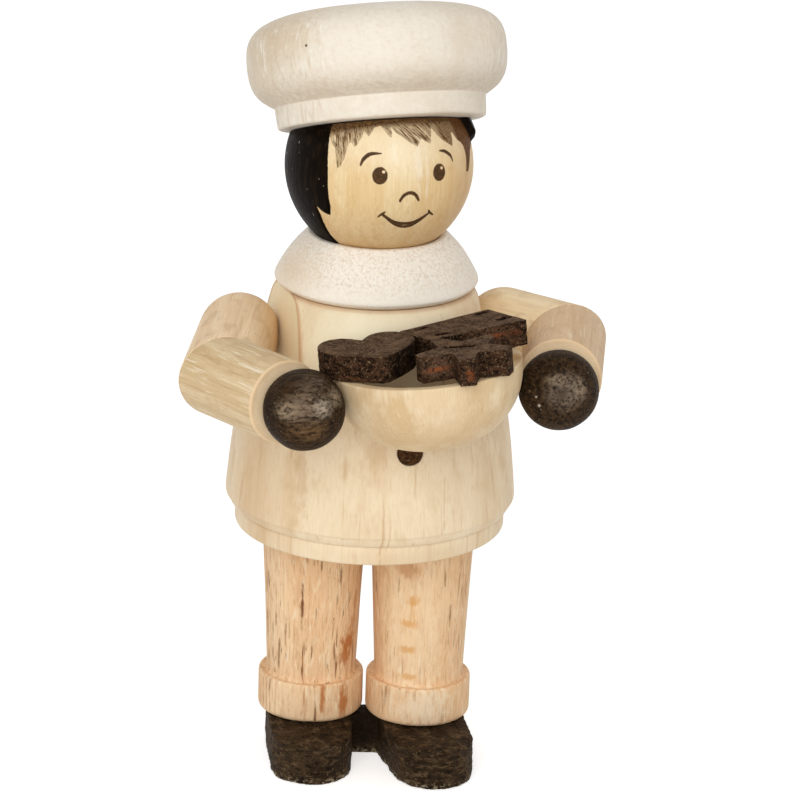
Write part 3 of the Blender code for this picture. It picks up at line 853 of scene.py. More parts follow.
def head_wood(name, seed):
    """The varnished ball with its burnt face and fringe and its painted hair."""
    f = Finish(name, seed)
    bands = f.noise(0.42, 0.012, 2.0, shift=3.0, warp=0.3)
    fibres = f.noise(5.0, 0.22, 3.0, 0.6, shift=5.0)
    mottle = f.noise(1.2, 0.8, 3.0, 0.6, shift=27.0)
    scorch = f.noise(5.5, 5.5, 2.0, 0.6, shift=13.0)
    f.colour = f.mix(f.span(bands, 0.36, 0.66), (239, 213, 164), (229, 195, 140))
    f.layers(
        (fibres, 0.42, 0.72, 0.25, (204, 166, 114)),
        (fibres, 0.44, 0.28, 0.40, (250, 233, 196)),
        (mottle, 0.50, 0.72, 0.30, (206, 166, 112)),
        # Darker towards the chin as painted shade, and lighter towards the top as painted light
        (f.axis("Z"), -1.0, -8.0, 0.42, (176, 130, 80)),
        (f.axis("Z"), 0.0, 5.0, 0.40, (250, 236, 208)),
    )
    # Painted shade on a cheek, painted light on the forehead, and pale streaks as painted highlights
    f.wash(HEAD_LIGHT_AND_SHADE)
    f.mark(HEAD_HIGHLIGHTS)
    strand = f.make("ShaderNodeCombineXYZ", {0: f.field("across"), 1: f.field("down"), 2: 0.0})
    hatch = f.cloud(f.vector("MULTIPLY", strand, (5.2, 0.55, 1.0)), 3.0, 0.65)
    edge = f.times(f.less(scorch, 0.5), 0.10)
    locks = f.field("fringe")
    fringe = f.span(f.plus(locks, edge), -0.03, 0.05)
    solid = f.span(f.field("solid"), 0.0, 1.0)
    wisps = f.cloud(f.vector("MULTIPLY", strand, (2.1, 0.9, 1.0)), 4.0, 0.7)
    drawn = f.times(f.span(hatch, 0.62, 0.46, 0.30, 1.0), f.span(wisps, 0.66, 0.42, 0.52, 1.0))
    drawn = f.times(drawn, f.span(locks, 0.0, 0.30, 0.80, 1.0))
    drawn = f.most(drawn, f.most(solid, f.field("cover")))
    bars = f.cloud(f.vector("MULTIPLY", strand, (0.7, 4.6, 1.0)), 3.0, 0.65)
    mottled = f.plus(f.times(scorch, 0.65), f.times(hatch, 0.35))
    brown = f.mix(f.span(mottled, 0.40, 0.60), (78, 48, 22), (132, 97, 59))
    # Dark horizontal streaks under the hat: burnt streaks together with the hat's painted shadow
    hat_shadow_streaks = f.times(f.span(solid, 0.45, 0.90), f.span(bars, 0.62, 0.40, 0.0, 0.72))
    brown = f.mix(hat_shadow_streaks, brown, (66, 40, 20))
    lock_brown = f.mix(f.span(scorch, 0.40, 0.60), (84, 50, 24), (116, 78, 40))
    brown = f.mix(f.times(f.field("lock"), 0.8), brown, lock_brown)
    f.lay(f.times(fringe, drawn), brown)
    burn = f.span(f.plus(f.field("burn"), edge), -0.03, 0.05)
    burnt = f.mix(f.span(scorch, 0.40, 0.62), (44, 22, 8), (84, 49, 24))
    f.lay(f.times(burn, 0.95), burnt)
    hair = f.span(f.plus(f.field("hair"), edge), -0.04, 0.05)
    specks = f.span(f.noise(3.2, 1.8, 1.0, shift=41.0), 0.74, 0.78, 0.0, 0.7)
    streak = f.span(f.noise(2.2, 0.25, 3.0, 0.6, shift=47.0), 0.45, 0.75)
    locks_dark = f.mix(streak, (12, 6, 2), (36, 23, 12))
    f.lay(hair, f.mix(specks, locks_dark, (176, 168, 158)))
    dull = f.most(f.most(hair, burn), fringe)
    shine = f.span(dull, 0.0, 1.0, 0.26, 0.03)
    return f.done((fibres, 0.40, 0.54), f.less(fibres, burn), 0.04, shine)


# Tints, as screen values
TAN_LINE = (196, 150, 100)
DARK_FLECK = (112, 58, 24)
RUST = (190, 118, 64)
AMBER = (222, 160, 84)
GLINT = (146, 78, 42)
# Painted shadow in the gaps between the gingerbread pieces
GAP_SHADOW = (16, 9, 5)
# Painted highlights, sheen and glints on the hands
HIGHLIGHT_TAN = (176, 154, 126)
SHEEN = (146, 128, 112)
SPARK = (206, 196, 182)

# Marks and washes, each with its middle, size, share and tint in the piece's own frame
COAT_MARKS = [
    ((-2.9, -13.2, 3.6), (0.18, 2.0, 5.0), 0.55, TAN_LINE),
    ((-2.3, -13.4, 3.0), (0.12, 2.0, 3.4), 0.40, TAN_LINE),
    ((-9.8, -9.3, 9.0), (0.6, 2.0, 6.4), 0.35, TAN_LINE),
    ((3.2, -13.2, 6.0), (0.14, 2.0, 4.8), 0.35, TAN_LINE),
]
# Painted shade on the coat's lower left side, painted light on its chest below the collar, and a darker
# tone at the front of the hem ring's foot
COAT_LIGHT_AND_SHADE = [
    ((-13.4, -5.0, 5.0), (5.0, 7.0, 11.0), 0.50, (206, 168, 120)),
    ((-4.6, -9.8, 21.0), (14.5, 8.0, 8.0), 0.90, (255, 245, 212)),
    ((0.0, -13.0, 0.5), (14.0, 7.0, 1.7), 0.30, (206, 172, 126)),
]
# Painted shade on the collar's left side
COLLAR_SHADE = [((-9.4, -1.5, 2.4), (6.0, 7.0, 5.0), 0.52, (220, 192, 152))]
# The middle and the size of the painted shadow on the bridge between the shoes
BRIDGE_SHADOW = ((-0.9, 4.6, 3.0), (2.9, 4.5, 3.4))
LEG_MARKS = {
    "right": [
        ((-0.80, -4.75, 12.4), (0.24, 0.9, 3.8), 0.90, DARK_FLECK),
        ((3.75, -2.60, 7.9), (1.35, 1.6, 1.7), 0.95, RUST),
        ((3.40, -2.95, 6.5), (1.0, 1.3, 1.6), 0.90, RUST),
        ((4.10, -2.20, 9.9), (0.5, 1.0, 1.2), 0.50, RUST),
        ((1.02, -4.86, 16.7), (0.15, 0.9, 1.3), 0.70, DARK_FLECK),
        ((-2.40, -3.92, 9.4), (0.14, 0.9, 1.6), 0.65, DARK_FLECK),
        ((-3.07, -3.25, 6.4), (0.18, 0.9, 2.1), 0.65, DARK_FLECK),
        ((-4.31, -1.61, 9.4), (0.7, 0.20, 1.7), 0.65, DARK_FLECK),
        ((-4.28, -2.26, 14.1), (0.6, 0.20, 1.6), 0.65, DARK_FLECK),
        ((2.88, -3.94, 15.2), (0.16, 0.9, 1.4), 0.65, DARK_FLECK),
        ((4.27, -2.08, 12.1), (0.6, 0.4, 1.7), 0.50, RUST),
        ((1.39, -4.97, 2.9), (0.32, 1.2, 2.5), 0.95, RUST),
        ((3.39, -3.89, 2.0), (0.62, 1.2, 2.8), 0.95, RUST),
        ((-0.40, -5.10, 2.6), (0.14, 0.9, 1.3), 0.50, RUST),
    ],
    "left": [
        ((0.0, -4.6, 11.0), (6.0, 3.5, 11.0), 0.35, (252, 226, 186)),
        ((-1.26, -4.78, 16.6), (1.9, 1.5, 1.1), 0.50, RUST),
        ((-0.70, -4.75, 13.3), (0.80, 1.2, 0.80), 0.65, AMBER),
        ((-0.95, -4.55, 10.8), (1.25, 1.2, 0.60), 0.65, AMBER),
        ((-1.10, -4.40, 8.0), (1.15, 1.2, 0.58), 0.65, AMBER),
        ((-0.95, -4.32, 5.1), (1.15, 1.2, 0.46), 0.60, AMBER),
        ((-0.75, -4.50, 12.0), (0.40, 1.2, 1.8), 0.35, AMBER),
        ((3.00, -3.64, 11.5), (0.16, 0.9, 1.6), 0.60, DARK_FLECK),
        ((2.40, -4.20, 15.8), (0.16, 0.9, 1.6), 0.55, DARK_FLECK),
        ((-2.10, -4.00, 14.8), (0.14, 0.9, 1.5), 0.50, DARK_FLECK),
        ((0.60, -4.90, 2.2), (4.6, 2.2, 2.6), 0.60, (254, 234, 202)),
        ((-1.60, -4.80, 2.9), (1.2, 1.2, 0.8), 0.30, AMBER),
    ],
}
LEG_FLECKS = {"right": 0.80, "left": 0.45}
# Pale streaks on the face, as painted highlights
HEAD_HIGHLIGHTS = [
    ((1.1, -8.9, 2.4), (0.60, 1.8, 4.4), 0.40, (254, 244, 222)),
    ((2.0, -8.7, 1.2), (0.32, 1.8, 3.4), 0.28, (254, 244, 222)),
    ((-1.2, -8.9, 4.0), (0.50, 1.8, 2.6), 0.30, (254, 244, 222)),
]
# Painted shade on the figure's left cheek and painted light on the forehead
HEAD_LIGHT_AND_SHADE = [
    ((6.4, -6.0, -2.0), (4.4, 5.0, 8.0), 0.60, (196, 148, 86)),
    ((-0.5, -8.6, 3.4), (4.5, 4.0, 4.0), 0.36, (252, 238, 210)),
]
# The hat's own X runs to the figure's right and its Y to the front
HAT_DOT = (9.28, 8.2, 6.99)
# Painted shade on the hat's figure-right side and top, and painted light on its figure-left side
HAT_LIGHT_AND_SHADE = [
    ((11.2, 4.0, 8.4), (6.0, 9.0, 5.0), 0.70, (206, 184, 152)),
    ((12.4, 1.0, 5.0), (4.0, 7.0, 5.5), 0.40, (214, 196, 168)),
    ((-9.0, 8.0, 8.0), (6.0, 7.0, 4.6), 0.45, (250, 234, 212)),
    ((6.5, 4.0, 11.0), (9.0, 9.0, 2.6), 0.40, (222, 200, 170)),
]
# Painted shade on the bowl's lower front, and on the rim's top at the right, where it stands for the shaded
# inner wall
BOWL_SHADE = [
    ((-1.4, -8.0, -4.0), (4.5, 4.5, 4.5), 0.30, (206, 172, 126)),
    ((7.9, -2.9, 0.1), (2.0, 3.2, 0.9), 0.85, (160, 116, 62)),
]

# The finishes of single pieces
COAT_WOOD = pale_wood(
    "coat_wood", 1.0, (241, 220, 186), (231, 205, 167), COAT_LIGHT_AND_SHADE, COAT_MARKS, sawn=True
)
BOWL_WOOD = pale_wood("bowl_wood", 7.0, (229, 203, 162), (215, 184, 139), BOWL_SHADE)
HEAD_WOOD = head_wood("head_wood", 3.0)
HAT_WHITE = hat_glaze("hat_glaze", 2.0, HAT_LIGHT_AND_SHADE)
COLLAR_WHITE = collar_glaze("collar_glaze", 9.0)
BUTTON_RUBBED = [((0.0, 0.0, 0.0), (4.0, 4.0, 4.0), 0.6, (96, 58, 30))]
BUTTON_STAIN = dark_stain("button_stain", 4.0, BUTTON_RUBBED)
SHOE_STAIN = shoe_stain("shoe_stain", 5.0)


# Shoes

def make_shoes():
    mesh = remeshed(from_frame("shoes"), SHOE_VOXEL)
    piece("shoes_stained", roughen(mesh, "shoes"), SHOE_STAIN, "shoes")


# Legs

def make_legs():
    tall = LEG_TALL - 2.0 * GLUE
    waist = (LEG_LOW_R + LEG_BOW, tall * 0.5)
    shaft = smooth([(LEG_TOP_R, tall), waist, (LEG_LOW_R, CUFF_TALL + SHAFT_ABOVE)], 4)
    corners = [
        (0.0, tall + LEG_PEG_UP, 0.0),
        (LEG_PEG_R, tall + LEG_PEG_UP, PEG_EASE),
        (LEG_PEG_R, tall, 0.0),
        (LEG_TOP_R, tall, LEG_EASE),
        *plain(shaft[1:]),
        (LEG_LOW_R + CUFF_STEP[0], CUFF_TALL - CUFF_STEP[1], LEG_EASE),
        (CUFF_R, CUFF_TALL, CUFF_TOP_EASE),
        (CUFF_R, 0.0, CUFF_FOOT_EASE),
        (LEG_PEG_R, 0.0, 0.0),
        (LEG_PEG_R, -LEG_PEG_DOWN, PEG_EASE),
        (0.0, -LEG_PEG_DOWN, 0.0),
    ]
    line = eased(corners)
    for name, side in SIDES:
        finish = beech(name + "_leg_beech", 11.0 + 5.0 * side, LEG_MARKS[name], LEG_FLECKS[name])
        place = HEM @ STANCE @ at((side * LEG_SPREAD, 0.0, GROUND + SHOE_TALL + GLUE))
        mesh = roughen(turned(line, 160), "leg", side)
        piece(name + "_leg_turned", mesh, finish, name + "_leg", place)


# Coat

def coat_side():
    """The coat's outer line from its top edge to the girth, the roll and the ring."""
    rise = COAT_TALL - GIRTH_UP
    out = COAT_R - COAT_TOP_R
    side = [(COAT_TOP_R + share * out, COAT_TALL - down * rise) for down, share in COAT_CURVE]
    roll = [
        (COAT_R - HEM_ROLL * 0.26, (GIRTH_UP + RING_TALL) / 2.0),
        (COAT_R - HEM_ROLL, RING_TALL + HEM_ROLL * 0.6),
        (RING_R - RING_EASE * 0.2, RING_TALL),
    ]
    return smooth(side + roll, 8)


def coat_radius(height):
    """The coat's radius and its side's slope at a height above the hem."""
    line = coat_side()
    for (top_r, top), (low_r, low) in zip(line, line[1:]):
        if low <= height <= top:
            share = (top - height) / (top - low)
            return top_r + (low_r - top_r) * share, math.atan2(low_r - top_r, top - low)
    return COAT_TOP_R, 0.0


# The bowl's place, which the arms reach for
BOWL_UP = Vector((
    -math.tan(math.radians(BOWL_LEAN_RIGHT)),
    math.tan(math.radians(BOWL_LEAN_BACK)),
    1.0,
)).normalized()
BOWL_SIDE = (Vector((1.0, 0.0, 0.0)) - BOWL_UP * BOWL_UP.x).normalized()
BOWL_BACK = BOWL_UP.cross(BOWL_SIDE)
BOWL_MIDDLE = Vector((
    -BOWL_RIGHT,
    BOWL_COPED - BOWL_R - coat_radius(COAT_TALL - BOWL_DOWN)[0],
    COAT_TALL - BOWL_DOWN,
))
BOWL = HEM @ at(BOWL_MIDDLE) @ Matrix((BOWL_SIDE, BOWL_BACK, BOWL_UP)).transposed().to_4x4()


def arm_spots(name, side):
    """The shoulder's ball centre, the elbow's mitre and the hand's centre."""
    shoulder = Vector((side * SHOULDER_OUT, SHOULDER_BACK[name], COAT_TALL - SHOULDER_DOWN[name]))
    elbow = Vector((side * ELBOW_OUT[name], -ELBOW_FORWARD[name], COAT_TALL - ELBOW_DOWN[name]))
    hand_low, hand_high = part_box(name + "_hand")
    hand = HEM.inverted() @ ((hand_low + hand_high) / 2.0) / MM
    return shoulder, elbow, hand


def arm_ledge(name, side):
    """How high above the hem the flat's lower end is."""
    shoulder, elbow, _ = arm_spots(name, side)
    return min(shoulder.z, elbow.z) - ARM_R - FLAT_SPARE


def button_place():
    out, rise = coat_radius(BUTTON_UP)
    turn = turned_by(-BUTTON_RIGHT)
    way = turn @ Vector((0.0, -math.cos(rise), math.sin(rise)))
    return along(turn @ Vector((0.0, -out, BUTTON_UP)), way)


def flat_out(height):
    """How far out the flat lies at a height above the hem."""
    return FLAT_OUT + (FLAT_FROM - height) * FLAT_LEAN


def coat_rings():
    """Rings down the coat whose points keep to the edges of the two flats."""
    hole = NECK_R + PEG_CLEAR
    floor = COAT_TALL - NECK_IN_COAT - PEG_CLEAR
    top = [(0.0, floor, 0.0), (hole, floor, 0.0), (hole, COAT_TALL, 0.1)]
    ring = [(RING_R, RING_TALL - RING_EASE * 0.4, 0.05), (RING_R, 0.0, RING_EASE), (0.0, 0.0, 0.0)]
    line = dense(eased(top + plain(coat_side()) + ring), STEP)
    ledges = {side: arm_ledge(name, side) for name, side in SIDES}
    for ledge in ledges.values():
        radius = coat_radius(ledge)[0]
        spot = next(i for i, (r, z) in enumerate(line) if r > COAT_TOP_R and z < ledge)
        line[spot:spot] = [(radius, ledge + LEDGE_HALF), (radius, ledge - LEDGE_HALF)]
    flat = np.concatenate([[0.0, 0.02], np.linspace(0.06, 0.94, 28), [0.98]])
    open_side = np.concatenate([[0.0, 0.005], np.linspace(0.012, 0.988, 110), [0.995]])
    rings = []
    for radius, height in line:
        if radius < AXIS:
            rings.append(tip(height))
            continue
        half = {}
        for side, ledge in ledges.items():
            wide = coat_radius(max(height, ledge))[0]
            share = flat_out(max(height, ledge)) / wide
            half[side] = max(math.acos(min(share, 1.0)), math.radians(FLAT_LEAST))
        between = math.pi - half[1.0] - half[-1.0]
        turn = []
        for middle, side in ((0.0, 1.0), (math.pi, -1.0)):
            turn.append(middle - half[side] + flat * 2.0 * half[side])
            turn.append(middle + half[side] + open_side * between)
        ring = ring_at(np.concatenate(turn)) * radius + UP * height
        for side, ledge in ledges.items():
            if height > ledge:
                ring[:, 0] = side * np.minimum(side * ring[:, 0], flat_out(height))
        rings.append(ring)
    return rings


def make_coat():
    tools = [(drill(BUTTON_R + PEG_CLEAR, -BUTTON_LONG - PEG_CLEAR, BUTTON_LONG), button_place())]
    for _, side in SIDES:
        hole = drill(LEG_PEG_R + PEG_CLEAR, -LEG_PEG_UP, LEG_PEG_UP)
        tools.append((hole, STANCE @ at((side * LEG_SPREAD, 0.0, 0.0))))
    mesh = carve(skin(coat_rings()), *tools)
    across, ahead, height = spots_of(mesh)[0].T
    radii, heights = np.array(coat_side()[::-1]).T
    cut = flat_out(height)
    edge = np.sqrt(np.maximum(np.interp(height, heights, radii) ** 2 - cut**2, 0.0))
    ledge = np.where(across > 0.0, arm_ledge("left", 1.0), arm_ledge("right", -1.0))
    sawn = (np.abs(across) > FLAT_BEYOND) & (height > ledge)
    off_edge = np.abs(np.abs(ahead) - edge)
    field(mesh, "saw_edge", np.where(sawn, ramp(off_edge, SAW_EDGE, 0.0), 0.0))
    on_flat = (np.abs(across) > cut - NEAR_FLAT) & (np.abs(ahead) < edge + NEAR_EDGE)
    field(mesh, "flat", sawn & on_flat)
    piece("coat_turned", mesh, COAT_WOOD, "coat_body", HEM)


def make_button():
    corners = [
        (0.0, BUTTON_PROUD + BUTTON_DOME, 0.0),
        (BUTTON_R * 0.6, BUTTON_PROUD + BUTTON_DOME * 0.6, 0.2),
        (BUTTON_R, BUTTON_PROUD - BUTTON_DOME, 0.15),
        (BUTTON_R, -BUTTON_LONG, 0.1),
        (0.0, -BUTTON_LONG, 0.0),
    ]
    mesh = roughen(turned(eased(corners), 64, 0.1), "button")
    piece("button_peg", mesh, BUTTON_STAIN, "button", HEM @ button_place())


# Collar

def make_collar():
    top = SEAT_R + SEAT_LIP
    hole = NECK_R + PEG_CLEAR
    middle = HEAD_Z - COLLAR_Z
    side = [(top + share * (COLLAR_R - top), COLLAR_TALL * tall) for tall, share in COLLAR_CURVE]
    seat = [(r, middle - math.sqrt(SEAT_BALL**2 - r**2)) for r in np.linspace(hole, SEAT_R, 24)]
    outside = smooth(side + [(COLLAR_FOOT_R, 0.0)], 8)
    line = dense(seat + outside + [(hole, 0.0), seat[0]], STEP)[:-1]
    mesh = roughen(skin(revolve(line, 224), loop=True), "collar")
    piece("collar_glazed", mesh, COLLAR_WHITE, "collar", HEM @ at((0.0, 0.0, COLLAR_Z)))


# Head: places on the ball are (degrees to the figure's left, degrees up), with the face at 0

def on_ball(left, up):
    left, up = np.radians(left), np.radians(up)
    return HEAD_R * np.stack([np.sin(left) * np.cos(up), -np.cos(left) * np.cos(up), np.sin(up)], -1)


def near_line(spots, start, stop):
    """How far along a stretch the nearest place to each spot lies, as a share, and how far off it is."""
    way = stop - start
    share = np.clip((spots - start) @ way / (way @ way), 0.0, 1.0)
    return share, np.linalg.norm(spots - start - share[:, None] * way, axis=1)


def stroke(spots, line):
    """How far inside a drawn stroke each spot lies. The line is (left, up, half width) points."""
    line = np.array(smooth([Vector(p) for p in line], 6))
    ends = on_ball(line[:, 0], line[:, 1])
    best = np.full(len(spots), -np.inf)
    for start, stop, wide, wide_on in zip(ends, ends[1:], line[:, 2], line[1:, 2]):
        share, far = near_line(spots, start, stop)
        best = np.maximum(best, wide + (wide_on - wide) * share - far)
    return best


def patch(spots, left, up, outline):
    """How far inside an outline of (left, up) points each spot lies."""
    outline = np.array(outline, float)
    ends = on_ball(outline[:, 0], outline[:, 1])
    near = np.full(len(spots), np.inf)
    inside = np.zeros(len(spots), bool)
    for i, (x2, y2) in enumerate(outline):
        x1, y1 = outline[i - 1]
        near = np.minimum(near, near_line(spots, ends[i - 1], ends[i])[1])
        if y1 != y2:
            cross = (y1 > up) != (y2 > up)
            inside ^= cross & (left < x1 + (up - y1) * (x2 - x1) / (y2 - y1))
    return np.where(inside, near, -near)


# Each eye's middle, half width, half height, and where its light lies from its middle
EYES = (((-17.2, 8.3), 0.74, 0.84, (2.2, 2.4)), ((21.8, 8.0), 0.74, 0.84, (2.0, 2.4)))
EYE_LIGHT = 0.15
BROWS = (
    [
        (-29.4, 14.0, 0.10), (-28.2, 17.3, 0.17), (-25.9, 19.8, 0.20),
        (-22.9, 21.3, 0.18), (-16.6, 21.7, 0.06),
    ],
    [
        (24.2, 20.8, 0.08), (27.8, 20.1, 0.16), (30.9, 18.3, 0.18),
        (33.2, 16.0, 0.15), (34.2, 12.8, 0.08),
    ],
)
NOSE = [
    (-4.4, -7.4, 0.14), (-3.5, -5.5, 0.16), (-2.2, -4.0, 0.17), (-0.4, -2.9, 0.18), (1.6, -2.5, 0.18),
    (3.5, -2.9, 0.18), (5.1, -4.0, 0.17), (6.3, -5.6, 0.16), (7.3, -7.6, 0.13),
]
SMILE = [
    (-15.2, -16.2, 0.14), (-12.3, -18.6, 0.17), (-9.0, -21.3, 0.22), (-5.5, -23.3, 0.30),
    (-1.0, -24.6, 0.37), (3.6, -24.6, 0.36), (8.0, -23.0, 0.28), (12.4, -20.2, 0.20), (16.4, -17.2, 0.14),
]
SMILE_ENDS = ([(-17.6, -18.4, 0.09), (-15.4, -16.2, 0.13), (-13.4, -14.8, 0.09)],
              [(15.6, -15.4, 0.09), (16.8, -17.0, 0.13), (19.8, -19.2, 0.09)])
LIP_LIGHT = [(-5.0, -23.6, 0.03), (-0.6, -24.8, 0.07), (4.0, -24.6, 0.03)]
# What is left of the burning where the lip is light
LIP_BURN = 0.018
FRINGE = [
    (-58, 46), (-57.5, 35), (-55, 29), (-51, 24), (-48.2, 22.4), (-46, 16.6), (-44.6, 10.4),
    (-42.6, 11.4), (-40.3, 16.5), (-39.4, 24), (-38.4, 27), (-36.7, 26.3), (-34.8, 24.4), (-33, 26),
    (-30.6, 30.8), (-29.8, 34.6), (-27.6, 33.2), (-25.8, 31.6), (-24.2, 34), (-22.2, 37.4), (-17.6, 38.8),
    (-14.4, 35.6), (-11.8, 32.4), (-9.4, 31.2), (-9.2, 34.2), (-9.8, 38), (-6.2, 34.2), (-0.6, 30.6),
    (3.1, 27.8), (7.8, 24.9), (9.2, 26.8), (11.9, 29.8), (14.7, 27.6), (18.4, 25.9), (20.4, 30.9),
    (22.8, 35.6), (25.5, 30.4), (29.1, 26.6), (36.8, 21.3), (38.6, 24.4), (40.2, 29.3), (41.3, 29.5),
    (44.4, 23.8), (47.6, 21.8), (49.8, 19.4), (50.5, 15), (49.8, 9), (48.6, 3.6), (50.8, 2.2), (53, 3.2),
    (56.6, 9.2), (60.2, 13.6), (66, 15.2), (73, 15.6), (76, 30), (76, 46),
]
RIGHT_HAIR = [
    (-57, 60), (-56, 34), (-53.2, 22.5), (-51.6, 14.8), (-50.2, 6.5), (-49.7, -2.9), (-49.3, -8.3),
    (-48.6, -14.6), (-49.6, -20.6), (-52.7, -20.6), (-56.4, -19.2), (-59.8, -16.8), (-58.2, -21.7),
    (-57.4, -31), (-56.6, -39), (-54, -46), (-50, -89), (-181, -89), (-181, 60),
]
LEFT_HAIR = [
    (62, 60), (63, 36), (65, 28), (69, 20), (73, 15.6), (80, 14), (90, 12), (92, 0), (90, -22), (92, -40),
    (90, -89), (181, -89), (181, 60),
]
# How the fringe's strands lean, and where the hat's edge runs, at places round the head
STRAND_LEAN = ((-50.0, -30.0, -15.0, 40.0, 50.0), (0.0, 0.3, 0.9, 0.9, 0.2))
HAT_LINE = ((-57.0, -41.6, -22.0, -2.0, 21.0, 49.0), (33.0, 37.6, 41.8, 43.3, 42.2, 37.6))
# How deep the burnt lines and the fringe are sunk and how thick the painted hair is, on the figure's right
# and high up on its left, each with how far in from its edge it is full. The left hair thins downward.
BURN_DEEP = 0.05
BURN_EDGE = 0.12
FRINGE_DEEP = 0.02
FRINGE_EDGE = 0.2
HAIR_THICK = 0.12
HAIR_EDGE = 0.3
LEFT_THICK = 0.74
LEFT_LEAST = 0.14
LEFT_RISE = (2.0, 3.2)
# Over which degrees the fringe turns solid below the hat and to the figure's left, takes the side lock's
# brown and closes its gaps, with the most that it reaches
SOLID_UNDER_HAT = (8.625, 1.125, 0.9)
SOLID_LEFT = (40.0, 47.0, 1.0)
LOCK_LEFT = (43.0, 46.0, 1.0)
COVER_LEFT = (18.0, 32.0, 0.85)
# The face's finer mesh runs so many degrees either side of its middle
FACE_HALF = 72.0


def eye_field(spots, middle_at, wide, tall, light_off):
    """How far inside an eye each spot lies, with the eye's light left out."""
    middle = on_ball(*middle_at)
    turn = math.radians(middle_at[0])
    across = np.array([math.cos(turn), math.sin(turn), 0.0])
    over = np.cross(across, -middle / HEAD_R)
    off = np.stack([(spots - middle) @ across / wide, (spots - middle) @ over / tall], 1)
    eye = (1.0 - np.linalg.norm(off, axis=1)) * wide
    light_at = on_ball(middle_at[0] + light_off[0], middle_at[1] + light_off[1])
    unlit = np.linalg.norm(spots - light_at, axis=1) - EYE_LIGHT
    return np.where(spots @ middle > 0.0, np.minimum(eye, unlit), -np.inf)


def head_fields(spots):
    """How far each spot lies inside the burnt lines, the burnt fringe and the painted hair."""
    left = np.degrees(np.arctan2(spots[:, 0], -spots[:, 1]))
    up = np.degrees(np.arcsin(np.clip(spots[:, 2] / HEAD_R, -1.0, 1.0)))
    drawn = [eye_field(spots, *eye) for eye in EYES]
    drawn += [stroke(spots, line) for line in (*BROWS, NOSE, SMILE, *SMILE_ENDS)]
    burn = np.maximum.reduce(drawn)
    burn = np.where(stroke(spots, LIP_LIGHT) > 0.0, np.minimum(burn, LIP_BURN), burn)
    down = np.radians(up) * HEAD_R
    level = np.radians(left) * HEAD_R * np.cos(np.radians(up))
    under_hat = np.interp(left, *HAT_LINE) - up
    return {
        "burn": burn,
        "fringe": patch(spots, left, up, FRINGE),
        "hair": np.maximum(patch(spots, left, up, RIGHT_HAIR), patch(spots, left, up, LEFT_HAIR)),
        "across": level + np.interp(left, *STRAND_LEAN) * down,
        "down": down,
        "solid": np.maximum(ramp(under_hat, *SOLID_UNDER_HAT), ramp(left, *SOLID_LEFT)),
        "lock": ramp(left, *LOCK_LEFT),
        "cover": ramp(left, *COVER_LEFT),
    }


def head_mesh():
    """The ball, finest round the face, with its neck hole and its flat under the hat."""
    lean = math.radians(HAT_LEAN)
    hat_up = np.array([0.0, math.sin(lean), math.cos(lean)])
    face = np.linspace(-FACE_HALF, FACE_HALF, 250, endpoint=False)
    rest = np.linspace(FACE_HALF, 360.0 - FACE_HALF, 150, endpoint=False)
    around = ring_at(np.radians(np.concatenate([face, rest]) - 90.0))
    hole = NECK_R + PEG_CLEAR
    start = math.degrees(math.asin(hole / HEAD_R)) - 90.0
    heights = [np.linspace(80.0, 46.0, 14), np.linspace(45.0, -42.0, 150), np.linspace(-43.0, start, 40)]
    rings = [tip(HEAD_R)]
    for up in np.radians(np.concatenate(heights)):
        rings.append(around * HEAD_R * math.cos(up) + UP * HEAD_R * math.sin(up))
    inner = NECK_IN_HEAD - HEAD_R + PEG_CLEAR
    mesh = skin(rings + [around * hole + UP * inner, tip(inner)])
    spots, normals = spots_of(mesh)
    fields = head_fields(spots)
    for name, values in fields.items():
        field(mesh, name, values)
    sunk = BURN_DEEP * ramp(fields["burn"], 0.0, BURN_EDGE)
    sunk = sunk + FRINGE_DEEP * ramp(fields["fringe"], 0.0, FRINGE_EDGE)
    left_thick = LEFT_THICK * np.maximum(ramp(spots[:, 2], *LEFT_RISE), LEFT_LEAST)
    proud = np.where(spots[:, 0] > 0.0, left_thick, HAIR_THICK) * ramp(fields["hair"], 0.0, HAIR_EDGE)
    spots = spots + normals * (proud - sunk)[:, None]
    over = np.maximum(spots @ hat_up - HAT_SEAT, 0.0)
    move_spots(mesh, spots - over[:, None] * hat_up)
    return mesh


def make_head():
    piece("head_ball", head_mesh(), HEAD_WOOD, "head", HEM @ at((0.0, 0.0, HEAD_Z)))


# Hat

def make_hat():
    lean = math.radians(HAT_LEAN)
    up = Vector((0.0, math.sin(lean), math.cos(lean)))
    forward = Vector((0.0, -math.cos(lean), math.sin(lean)))
    girth = BAND_TALL + CROWN_GIRTH
    dome = oval(CROWN_R, CROWN_TALL - CROWN_GIRTH, CROWN_FULL, 60)
    over = [(radius, girth + height) for radius, height in reversed(dome)]
    under = []
    for share, height in CROWN_UNDER:
        under.append((BAND_R + (CROWN_R - BAND_R) * share, BAND_TALL + CROWN_GIRTH * height))
    under = smooth([over[-1]] + under, 8)[1:]
    band = [(BAND_R + BAND_FLARE, BAND_TALL - 0.1, 0.15), (BAND_R, 0.0, BAND_EASE), (0.0, 0.0, 0.0)]
    line = eased(plain(over + under) + band)
    mesh = roughen(turned(line, 256, 0.25), "hat")
    foot = Vector((0.0, 0.0, HEAD_Z)) + up * (HAT_SEAT + GLUE) + forward * HAT_FORWARD
    piece("hat_glazed", mesh, HAT_WHITE, "hat", HEM @ along(foot, up))


# Arms

# Each arm's pale and deep tints, and how clear its drawn scratches are
SLEEVE_LOOKS = {
    "right": ((249, 222, 184), (240, 208, 168), 0.5),
    "left": ((248, 228, 190), (240, 214, 172), 0.2),
}
FOREARM_LOOKS = {
    "right": ((225, 200, 159), (213, 184, 139), 0.9),
    "left": ((226, 194, 157), (215, 180, 139), 0.4),
}
